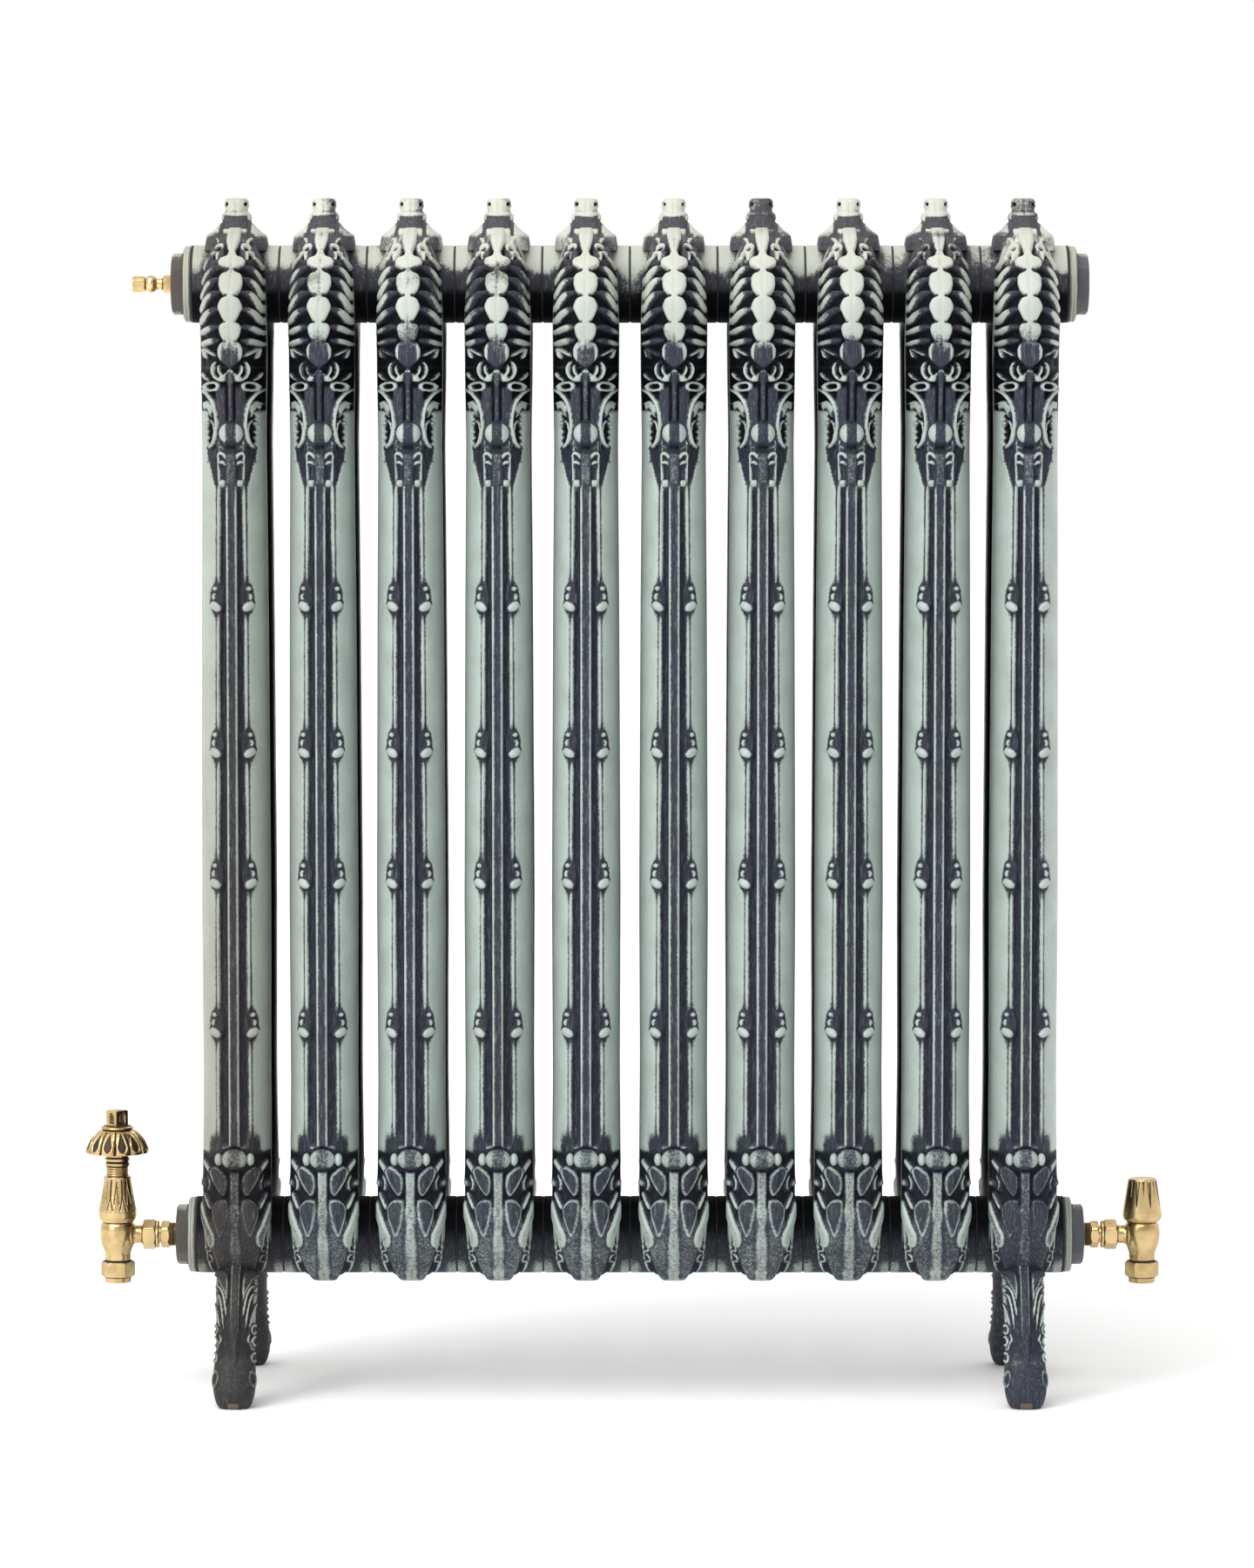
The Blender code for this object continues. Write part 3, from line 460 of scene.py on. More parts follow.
def carve_acanthus(work):
    """Bulb, leaves, heart lobes and the tongue that closes the column at the bottom."""
    u, v = work.u, work.v
    flare = smooth(226.0, 206.0, v) * smooth(8.0, 12.0, u) * smooth(24.0, 18.0, u)
    work.ground(flare * smooth(196.0, 200.0, v), -0.8, 0.85, 0.3)
    foot = smooth(204.0, 197.0, v)
    work.ground(foot, -2.6, 0.92, 0.6)
    heights, half_widths = np.array(TONGUE).T
    tongue = u - np.interp(v, heights, half_widths) + np.where(v > 158.0, 40.0, 0.0)
    work.lift(tongue, 0.7, 4.0, 0.63, base=-2.6)
    inner_wash = smooth(8.0, 3.5, u) * smooth(98.0, 110.0, v) * smooth(160.0, 150.0, v)
    work.patina += 0.12 * inner_wash
    outer_leaf = ((27.8, 160.5), (28.6, 154.0), (26.6, 145.5), (23.2, 135.0), (21.0, 124.0), (16.0, 126.0),
                  (15.5, 135.0), (19.6, 144.0), (23.0, 153.0), (25.2, 160.0))
    work.leaf(outer_leaf, 2.4, 2.6, 0.44, base=-2.2, edge=0.38)
    small_leaf = ((26.2, 168.8), (25.0, 164.0), (20.8, 155.0), (18.6, 157.0), (21.6, 163.2), (24.2, 168.0))
    work.leaf(small_leaf, 1.2, 1.6, 0.28, base=-2.2)
    heart = ((5.0, 163.8), (9.6, 164.4), (14.6, 163.0), (18.4, 157.6), (18.4, 151.0), (16.2, 143.0),
             (12.2, 133.0), (8.2, 139.0), (5.6, 150.0), (4.6, 158.0))
    work.leaf(heart, 3.2, 4.4, 0.74, base=-2.2, edge=0.60)
    blade = ((25.9, 195.4), (24.8, 190.0), (20.4, 183.4), (16.6, 176.0), (13.0, 169.8), (11.8, 172.4),
             (14.6, 180.0), (18.4, 187.6), (23.0, 192.8))
    work.leaf(blade, 1.6, 1.8, 0.26, base=-2.2, edge=0.15)
    curl = ((13.2, 190.2), (16.8, 190.6), (19.2, 187.4), (18.4, 181.6), (15.6, 174.6), (10.2, 166.4),
            (6.6, 168.6), (5.2, 176.0), (6.6, 184.0))
    work.leaf(curl, 2.8, 3.6, 0.78, base=-2.2, edge=0.60)
    work.groove(((13.6, 186.6), (14.2, 181.6), (11.0, 173.4)), 1.0, 1.3)
    work.lift(work.ellipse((25.8, 175.0), (2.7, 3.2)), 2.2, 2.4, 0.40, base=-1.6)
    work.line(((24.0, 183.0), (20.6, 177.4), (21.4, 171.4), (24.4, 170.6)), 1.0, 0.6, 0.30)
    for centre in ((22.4, 122.4), (21.2, 113.2)):
        ring = work.ellipse(centre, (2.1, 3.0), -12)
        work.lift(np.abs(ring) - 0.8, 1.0, 0.8, 0.22, base=-1.8)
        work.hole(ring + 1.3, 2.8)
    work.line(((26.6, 146.0), (25.4, 134.0), (24.6, 124.0), (22.6, 108.0), (18.8, 99.0)), 0.85, 0.4, 0.20)
    half_rib = np.interp(v, (90.0, 97.0, 106.0, 190.0), (5.4, 4.8, 3.9, 3.9))
    rib = np.where(v < 192.0, u - half_rib, 9.0)
    rib_height = 0.8 + 2.2 * smooth(90.0, 108.0, v)
    rib_tone = mix(0.50, 0.22, smooth(2.2, 3.4, u))
    work.lift(rib, rib_height, 1.6, rib_tone, base=0.0, halo=0.9)
    work.height -= 0.35 * bell(u, 0.0, 2.0) * smooth(192.0, 188.0, v)
    around = work.ellipse((0.0, 196.2), (16.0, 9.6))
    work.ground(smooth(1.2, -0.6, around), -1.2, 0.93, 0.5)


def carve_front(u, v):
    work = Carving(u, v)
    carve_ridges(work)
    carve_torso(work)
    carve_mask(work)
    carve_hood(work)
    carve_acanthus(work)
    return work


def carve_leg(u, v, flank):
    """The leg: a rib that dies out at the ankle, acanthus curls, flank scrolls and the hoof."""
    work = Carving(u, v)
    work.ground(smooth(30.0, 44.0, v), -0.9, 0.86, 0.40)
    work.ground(smooth(42.0, 26.0, v), 0.0, 0.88, 0.20)
    work.ground(flank * smooth(28.0, 44.0, v), -0.4, 0.30, 0.0)
    upper = ((5.6, 103.0), (10.6, 104.4), (15.4, 102.8), (17.2, 98.6), (13.4, 97.2), (12.0, 94.2),
             (8.6, 88.0), (6.4, 80.0), (4.9, 90.0))
    work.leaf(upper, 1.9, 1.8, 0.60, base=-1.6, edge=0.34)
    work.line(((16.4, 91.5), (12.6, 92.4), (9.4, 87.6), (7.4, 78.0), (6.6, 70.0)), 1.15, 1.7, 0.12)
    work.line(((16.8, 86.0), (13.4, 86.6), (11.0, 80.5), (9.4, 70.0), (8.6, 61.0)), 1.0, 1.3, 0.18)
    work.line(((17.6, 80.0), (15.2, 76.0), (12.6, 66.0), (11.4, 56.5)), 0.95, 1.0, 0.22)
    work.line(((12.4, 58.5), (10.6, 53.0), (12.6, 49.2), (13.6, 44.0)), 0.9, 1.2, 0.20)
    for centre in ((14.6, 60.0), (15.2, 50.5), (15.0, 38.5)):
        ring = work.ellipse(centre, (1.7, 3.1), 8)
        work.lift(np.abs(ring) - 0.75, 1.6, 0.8, 0.20)
        work.hole(ring + 1.2, 1.8)
    half_rib = np.interp(v, (32.0, 60.0, 110.0), (2.4, 3.3, 4.0))
    rib = np.where(v > 33.0, u - half_rib, 9.0)
    fade = smooth(33.0, 52.0, v)
    work.lift(rib, 0.4 + 2.2 * fade, 1.4, mix(0.72, mix(0.66, 0.20, smooth(2.0, 3.2, u)), fade), base=-0.4,
              halo=0.8, shade=0.85)
    seam = bell(u, 0.0, 0.7) * smooth(34.0, 26.0, v) * smooth(4.0, 10.0, v)
    work.height -= 0.5 * seam
    hoof_curl = work.ellipse((14.6, 23.0), (2.0, 5.6), 10)
    work.lift(np.abs(hoof_curl) - 0.8, 1.2, 0.9, 0.40, base=-0.6)
    return work


# ================================================================ meshes
class Shape:
    """Collects grids of points into one mesh, with point values for the materials."""

    def __init__(self):
        self.points = []
        self.faces = []
        self.values = {}
        self.count = 0

    def add(self, points, faces, values):
        self.points.append(points)
        self.faces.extend((np.asarray(face_set) + self.count) for face_set in faces if len(face_set))
        for name in set(self.values) | set(values):
            kept = self.values.setdefault(name, [np.zeros(self.count)] if self.count else [])
            kept.append(np.broadcast_to(values.get(name, 0.0), (len(points),)).astype(float))
        self.count += len(points)

    def add_grid(self, grid, values=None, closed_rows=False, caps=False, flip=False):
        """Rows of points that close on themselves, joined into quads; caps closes both ends with a fan."""
        rows, columns = grid.shape[:2]
        index = np.arange(rows * columns).reshape(rows, columns)
        below = index if closed_rows else index[:-1]
        above = np.roll(index, -1, 0) if closed_rows else index[1:]
        quads = np.stack((below, np.roll(below, -1, 1), np.roll(above, -1, 1), above), -1).reshape(-1, 4)
        points = grid.reshape(-1, 3)
        flat = {name: np.broadcast_to(value, (rows, columns)).reshape(-1)
                for name, value in (values or {}).items()}
        triangles = []
        if caps:
            middles = np.array([grid[0].mean(0), grid[-1].mean(0)])
            ends = len(points)
            points = np.vstack((points, middles))
            flat = {name: np.append(value, (value[:columns].mean(), value[-columns:].mean()))
                    for name, value in flat.items()}
            ring = np.arange(columns)
            after = np.roll(ring, -1)
            top = (rows - 1) * columns
            triangles = np.vstack((np.stack((after, ring, np.full(columns, ends)), 1),
                                   np.stack((top + ring, top + after, np.full(columns, ends + 1)), 1)))
        if flip:
            quads = quads[:, ::-1]
            triangles = triangles[:, ::-1] if len(triangles) else triangles
        self.add(points, (quads, triangles), flat)

    def mesh(self, name, sharp=40.0):
        points = np.vstack(self.points) * MM
        sizes = np.concatenate([np.full(len(f), f.shape[1]) for f in self.faces])
        corners = np.concatenate([f.reshape(-1) for f in self.faces])
        mesh = bpy.data.meshes.new(name)
        mesh.vertices.add(len(points))
        mesh.vertices.foreach_set("co", points.astype(np.float32).ravel())
        mesh.loops.add(len(corners))
        mesh.loops.foreach_set("vertex_index", corners.astype(np.int32))
        mesh.polygons.add(len(sizes))
        starts = np.concatenate(([0], np.cumsum(sizes)[:-1]))
        mesh.polygons.foreach_set("loop_start", starts.astype(np.int32))
        for value_name, parts in self.values.items():
            layer = mesh.attributes.new(value_name, "FLOAT", "POINT")
            layer.data.foreach_set("value", np.concatenate(parts).astype(np.float32))
        mesh.update(calc_edges=True)
        mesh.validate()
        mesh.shade_smooth()
        if sharp:
            mesh.set_sharp_from_angle(angle=math.radians(sharp))
        return mesh


def grid_normals(grid, closed_rows, middles):
    """Outward directions over a grid whose columns close on themselves."""
    across = np.roll(grid, -1, 1) - np.roll(grid, 1, 1)
    if closed_rows:
        along = np.roll(grid, -1, 0) - np.roll(grid, 1, 0)
    else:
        along = np.gradient(grid, axis=0)
    normal = np.cross(across, along)
    normal /= np.maximum(np.linalg.norm(normal, axis=2, keepdims=True), 1e-9)
    outward = ((grid - middles) * normal).sum(2, keepdims=True)
    return normal * np.sign(outward.sum() or 1.0)


# ================================================================ sections
def casting_path():
    """Stations all round the casting, every 2 mm of its outer path, rounded off: facing, columns of sizes."""
    front = [(-1.0, station) for station in STATIONS]
    rear = [(1.0, station) for station in reversed(STATIONS[1:-1])]
    table = np.array([(facing * inner[0], inner[1], facing * outer[0], outer[1], half)
                      for facing, (inner, outer, half) in front + rear + front[:1]])
    length = np.concatenate(([0.0], np.cumsum(np.hypot(*np.diff(table[:, 2:4], axis=0).T))))
    places = np.arange(0.0, length[-1], 2.0)
    dense = np.stack([np.interp(places, length, column) for column in table.T], 1)
    window = 9
    for _ in range(2):
        dense = sum(np.roll(dense, shift, 0) for shift in range(-(window // 2), window // 2 + 1)) / window
    return dense


def row_density(height, rear):
    fine = np.zeros_like(height)
    for low, high in FINE_BANDS:
        fine = np.maximum(fine, smooth(low - 3, low, height) * smooth(high + 3, high, height))
    for knot in KNOT_HEIGHTS:
        fine = np.maximum(fine, smooth(knot - 22, knot - 19, height) * smooth(knot + 7, knot + 4, height))
    step = mix(PLAIN_STEP, FINE_STEP, fine) * np.where(rear, REAR_COARSENING, 1.0)
    return 1.0 / step


def slice_angles():
    """Angles round a slice: close together over the face, where the ornament is, and wider behind."""
    fine = np.linspace(-math.pi, math.pi, 4001)
    x = SLICE_HALF_WIDTH * signed_power(np.sin(fine), FULLNESS)
    y = SLICE_HALF_DEPTH * signed_power(np.cos(fine), FULLNESS)
    length = np.concatenate(([0.0], np.cumsum(np.hypot(np.diff(x), np.diff(y)))))
    step = mix(BEHIND_STEP, FACE_STEP, smooth(-0.15, 0.25, y / SLICE_HALF_DEPTH))
    count = np.concatenate(([0.0], np.cumsum(np.diff(length) / step[1:])))
    total = int(count[-1]) // 2 * 2
    return np.interp(np.arange(total) / total * count[-1], count, fine)


def casting_grid():
    path = casting_path()
    closed = np.vstack((path, path[:1]))
    length = np.concatenate(([0.0], np.cumsum(np.hypot(*np.diff(closed[:, 2:4], axis=0).T))))

    def density(place):
        height = np.interp(place, length, closed[:, 3])
        return row_density(height, np.interp(place, length, closed[:, 2]) > 0.0)

    places = spread(0.0, length[-1], density)
    columns = (np.interp(places, length, column)[:, None] for column in closed.T)
    inner_y, inner_z, outer_y, outer_z, half = columns
    angles = slice_angles()[None, :]
    fullness = mix(LOW_FULLNESS, FULLNESS, smooth(110.0, 190.0, outer_z))
    reach = signed_power(np.cos(angles), fullness)
    x = half * signed_power(np.sin(angles), fullness)
    skew = BACK_SET * smooth(130.0, 230.0, outer_z) * smooth(905.0, 850.0, outer_z) * (1.0 - reach ** 2)
    along = 0.5 * (1.0 + reach) - skew
    y = inner_y + (outer_y - inner_y) * along
    z = inner_z + (outer_z - inner_z) * along
    grid = np.stack((x, y, z), -1)
    flat = 0.0 * x
    middles = np.stack((flat, 0.5 * (inner_y + outer_y) + flat, 0.5 * (inner_z + outer_z) + flat), -1)
    return grid, middles, reach


def evened(field):
    """Rounds off the steps between neighbouring points of a closed grid."""
    for axis in (0, 1):
        field = 0.25 * np.roll(field, 1, axis) + 0.5 * field + 0.25 * np.roll(field, -1, axis)
    return field


def add_casting(shape, deeper):
    """Both columns in one closed grid; deeper is how much more glaze the foot ornament keeps."""
    grid, middles, reach = casting_grid()
    normal = grid_normals(grid, True, middles)
    u = np.abs(grid[..., 0])
    work = carve_front(np.minimum(u, CARVED_SHARE * u.max(1, keepdims=True)).ravel(), grid[..., 2].ravel())
    face = smooth(0.02, 0.26, reach + 0.0 * u)
    edge = smooth(1.0, 0.93, u / u.max(1, keepdims=True))
    height = evened(work.height.reshape(u.shape) * face * mix(0.25, 1.0, edge))
    # The faces that look into the gap between the two columns: dark glaze plus painted shade where little
    # light reaches.
    inner_glaze_and_shade = smooth(-0.12, -0.45, reach + 0.0 * u) * smooth(870.0, 850.0, grid[..., 2])
    hidden = 0.22 + 0.12 * np.sin(grid[..., 2] * 0.03) ** 2
    patina = evened(mix(mix(hidden, 1.0, inner_glaze_and_shade), work.patina.reshape(u.shape), face))
    patina = patina + deeper * smooth(215.0, 185.0, grid[..., 2])
    soot = evened(mix(0.85 * inner_glaze_and_shade, work.soot.reshape(u.shape), face))
    shape.add_grid(grid + normal * height[..., None], {"patina": patina, "soot": soot}, closed_rows=True)


def add_hub(shape, height):
    """A collar between sections, with eased rims; it is painted dark where least light falls, as painted
    shade.
    """
    ends = np.array([0.0, 0.4, 1.0, 1.8, 3.0, 5.5, 8.5, 12.0, 17.0, 24.0, 34.4])
    x = np.concatenate((-HUB_HALF_LENGTH + ends[:-1], HUB_HALF_LENGTH - ends[::-1][1:]))
    inset = np.interp(HUB_HALF_LENGTH - np.abs(x), (0.0, 0.4, 1.0), (0.9, 0.25, 0.0))
    angles = np.linspace(0.0, 2 * math.pi, HUB_SIDES, endpoint=False)
    radius = (HUB_RADIUS - inset)[:, None]
    up = np.sin(angles)[None, :]
    grid = np.stack((x[:, None] + 0.0 * up, radius * np.cos(angles)[None, :], height + radius * up), -1)
    if height > 500.0:
        # Top collars: pale on top, painted shade over the lower half.
        patina = mix(0.02, 0.97, smooth(0.66, -0.10, up)) + 0.0 * radius
        soot = mix(0.0, 1.0, smooth(0.10, -0.45, up)) + 0.0 * radius
    else:
        # Bottom collars: painted shade over the top and middle, paler at the very bottom as painted light
        # from the floor.
        patina = mix(0.45, 0.95, smooth(-0.85, -0.2, up)) + 0.0 * radius
        soot = mix(0.0, 0.7, smooth(-0.5, 0.5, up)) + 0.0 * radius
    by_casting = smooth(HUB_HALF_LENGTH - 5.0, HUB_HALF_LENGTH - 11.0, np.abs(x))[:, None]
    shape.add_grid(grid, {"patina": np.minimum(patina + 0.35 * by_casting, 1.0), "soot": soot}, caps=True)


def add_crown(shape):
    """The small head on top, with two eye hollows and a crease down its middle."""
    rings = np.array(CROWN_RINGS)
    heights = np.concatenate((np.arange(918.0, 959.0, 0.8), (959.3, 959.7, 960.0)))
    half_x = np.interp(heights, rings[:, 0], rings[:, 1])[:, None]
    half_y = np.interp(heights, rings[:, 0], rings[:, 2])[:, None]
    angles = np.linspace(0.0, 2 * math.pi, 128, endpoint=False)[None, :]
    x = half_x * signed_power(np.sin(angles), 0.72)
    y = -half_y * signed_power(np.cos(angles), 0.72)
    z = heights[:, None] + 0.0 * x
    grid = np.stack((x, y, z), -1)
    normal = grid_normals(grid, False, np.stack((0.0 * x, 0.0 * y, z), -1))
    u = np.abs(x)
    eyes = smooth(1.9, 0.9, np.hypot(u - 8.0, z - 955.2))
    ears = 0.4 * bell(np.hypot(u - 9.6, 0.8 * (z - 954.4)), 0.0, 1.6)
    crease = bell(u, 0.0, 0.7)
    band = smooth(934.6, 936.6, z) * smooth(947.6, 945.4, z) * smooth(11.0, 9.6, u)
    brow = 0.6 * bell(z, 949.6, 1.0)
    slits = smooth(9.4, 10.2, u) * smooth(13.4, 12.2, u) * smooth(944.5, 941.0, z) * smooth(928.0, 932.0, z)
    rim = bell(z, 930.5, 1.6) * smooth(14.0, 17.0, u)
    cheek = bell(u, 10.9, 1.0) * smooth(934.0, 937.0, z) * smooth(948.5, 946.0, z)
    height = 0.9 * ears + 0.5 * cheek + 0.5 * rim - 2.8 * eyes - 0.4 * crease - 1.2 * band - 0.5 * brow
    height -= 1.6 * slits
    # Painted shade: the right side of the head is made darker than the left.
    patina = 0.12 + 0.10 * crease + 0.12 * smooth(0.0, 8.0, x) + 0.30 * brow
    patina = mix(patina, 0.62, smooth(934.0, 930.0, z) * smooth(5.0, 8.0, u))
    # The sunk band under the brow is painted near black: dark glaze in the hollow plus painted shadow under
    # the brow.
    patina = mix(patina, np.interp(z, (935.0, 939.0, 943.0, 948.0), (0.35, 1.15, 1.05, 0.35)), band)
    patina = mix(patina, 0.97, slits)
    patina = mix(patina, 0.20, 0.8 * rim)
    patina = mix(patina, 0.16, cheek * (1.0 - slits))
    # The eye hollows are glazed and given painted shade.
    patina = np.maximum(patina, eyes)
    shape.add_grid(grid + normal * height[..., None], {"patina": patina, "soot": eyes}, caps=True)


def add_boss(shape, facing, centre, radii, wash, rows=30, columns=44):
    """A rounded boss on a section's face, glazed along its middle and rubbed pale at its sides."""
    up = np.linspace(-0.5 * math.pi, 0.5 * math.pi, rows)[1:-1, None]
    angles = np.linspace(0.0, 2 * math.pi, columns, endpoint=False)[None, :]
    x = np.cos(up) * np.cos(angles)
    y = np.cos(up) * np.sin(angles)
    z = np.sin(up) + 0.0 * angles
    middle = np.array((centre[0], facing * centre[1], centre[2]))
    grid = middle + np.array(radii) * np.stack((x, y, z), -1)
    # Darker on the half towards the casting; the extra dark on the underside is painted shade.
    patina = mix(wash[0], wash[1], smooth(0.30, 0.62, np.abs(x))) + 0.5 * smooth(0.25, -0.05, facing * y)
    shape.add_grid(grid, {"patina": patina + 0.25 * smooth(-0.5, -0.9, z)}, caps=True)


def add_bosses(shape):
    """Front and rear, the bulb over the bottom leaves with its side lobes, and the dome under the mask."""
    for facing in (-1.0, 1.0):
        add_boss(shape, facing, (0.0, 88.0, 196.4), (10.2, 8.6, 8.4), (0.62, 0.44))
        add_boss(shape, facing, (0.0, 88.5, 773.6), (9.6, 7.4, 8.8), (0.78, 0.04))
        for side in (-1.0, 1.0):
            add_boss(shape, facing, (side * 12.6, 86.5, 196.2), (3.2, 5.4, 5.0), (0.10, 0.10), 18, 24)


def add_leg(shape, facing):
    table = np.array(LEG_SLICES)[::-1]
    heights = np.concatenate((np.arange(0.0, 3.0, 0.5), np.arange(3.0, 112.0, 0.95), (116.0, 121.0, 126.0)))
    depth, half_y, half_x = (np.interp(heights, table[:, 1], table[:, k]) for k in (0, 2, 3))
    for _ in range(3):
        for column in (depth, half_y, half_x):
            last = len(column)
            column[6:-6] = sum(column[6 + shift:last - 6 + shift] for shift in range(-3, 4)) / 7.0
    angles = np.linspace(-math.pi, math.pi, 144, endpoint=False)[None, :]
    reach = signed_power(np.cos(angles), 0.85)
    x = half_x[:, None] * signed_power(np.sin(angles), 0.85)
    y = facing * (depth[:, None] + half_y[:, None] * reach)
    z = heights[:, None] + 0.0 * x
    grid = np.stack((x, y, z), -1)
    middles = np.stack((0.0 * x, facing * depth[:, None] + 0.0 * x, z), -1)
    normal = grid_normals(grid, False, middles)
    flank = smooth(0.75, 0.45, reach + 0.0 * x).ravel()
    work = carve_leg(np.abs(x).ravel(), z.ravel(), flank)
    face = smooth(-0.1, 0.2, reach + 0.0 * x)
    height = work.height.reshape(x.shape) * face * smooth(0.5, 4.0, z)
    patina = mix(0.60, work.patina.reshape(x.shape), face) + LEG_GLAZE
    patina = mix(patina, 0.80, smooth(96.0, 104.0, z) * (np.abs(x) > 5.0))
    # Painted shade from the carving, faint on the plain sides.
    soot = mix(0.05, work.soot.reshape(x.shape), face)
    worn = smooth(7.5, 4.0, z) * smooth(0.92, 0.99, reach + 0.0 * x)
    values = {"patina": patina, "soot": soot, "worn": worn}
    shape.add_grid(grid + normal * height[..., None], values, caps=True, flip=facing > 0)


def section_mesh(name, with_legs):
    shape = Shape()
    add_casting(shape, LEG_GLAZE if with_legs else 0.0)
    add_crown(shape)
    add_bosses(shape)
    for height in (BOTTOM_HUB_Z, TOP_HUB_Z):
        add_hub(shape, height)
    if with_legs:
        add_leg(shape, -1.0)
        add_leg(shape, 1.0)
    return shape.mesh(name, sharp=None)


# ================================================================ shaders
class NodeMaker:
    """A short way to build the nodes of a material or of the world."""

    def __init__(self, tree):
        self.tree = tree

    def node(self, kind, **settings):
        made = self.tree.nodes.new("ShaderNode" + kind)
        for key, value in settings.items():
            setattr(made, key, value)
        return made

    def plug(self, socket, value):
        if isinstance(value, bpy.types.NodeSocket):
            self.tree.links.new(value, socket)
        elif isinstance(value, tuple) and len(value) == 3 and socket.type == "RGBA":
            socket.default_value = (*value, 1.0)
        else:
            socket.default_value = value

    def attribute(self, name):
        return self.node("Attribute", attribute_name=name).outputs["Fac"]

    def place(self, local=False):
        if local:
            return self.node("TexCoord").outputs["Object"]
        return self.node("NewGeometry").outputs["Position"]

    def stretched(self, vector, scale):
        made = self.node("Mapping")
        self.plug(made.inputs["Vector"], vector)
        self.plug(made.inputs["Scale"], scale)
        return made.outputs["Vector"]

    def noise(self, vector, scale, detail=3.0, roughness=0.55):
        made = self.node("TexNoise")
        self.plug(made.inputs["Vector"], vector)
        self.plug(made.inputs["Scale"], scale)
        self.plug(made.inputs["Detail"], detail)
        self.plug(made.inputs["Roughness"], roughness)
        return made.outputs["Fac"]

    def maths(self, operation, a, b=0.0, c=0.0):
        made = self.node("Math", operation=operation)
        for socket, value in zip(made.inputs, (a, b, c)):
            self.plug(socket, value)
        return made.outputs[0]

    def unsettled(self, level, *noises):
        """The level, shifted up and down by each noise about its middle value."""
        for noise, amount in noises:
            level = self.maths("MULTIPLY_ADD", noise, amount, self.maths("SUBTRACT", level, 0.5 * amount))
        return level

    def step(self, value, low, high, to_low=0.0, to_high=1.0):
        made = self.node("MapRange", interpolation_type="SMOOTHSTEP")
        for key, given in (("Value", value), ("From Min", low), ("From Max", high),
                           ("To Min", to_low), ("To Max", to_high)):
            self.plug(made.inputs[key], given)
        return made.outputs["Result"]

    def blend(self, share, a, b):
        made = self.node("Mix", data_type="RGBA")
        self.plug(made.inputs[0], share)
        self.plug(made.inputs[6], a)
        self.plug(made.inputs[7], b)
        return made.outputs[2]

    def split(self, vector):
        made = self.node("SeparateXYZ")
        self.plug(made.inputs[0], vector)
        return made.outputs

    def bump(self, height, strength, distance, under=None):
        made = self.node("Bump")
        self.plug(made.inputs["Height"], height)
        self.plug(made.inputs["Strength"], strength)
        self.plug(made.inputs["Distance"], distance)
        if under is not None:
            self.plug(made.inputs["Normal"], under)
        return made.outputs["Normal"]


class Paint(NodeMaker):
    """A material and its nodes."""

    def __init__(self, name):
        self.material = bpy.data.materials.new(name)
        self.material.use_nodes = True
        super().__init__(self.material.node_tree)
        self.shader = self.tree.nodes["Principled BSDF"]

    def set(self, **inputs):
        for key, value in inputs.items():
            self.plug(self.shader.inputs[key.replace("_", " ")], value)


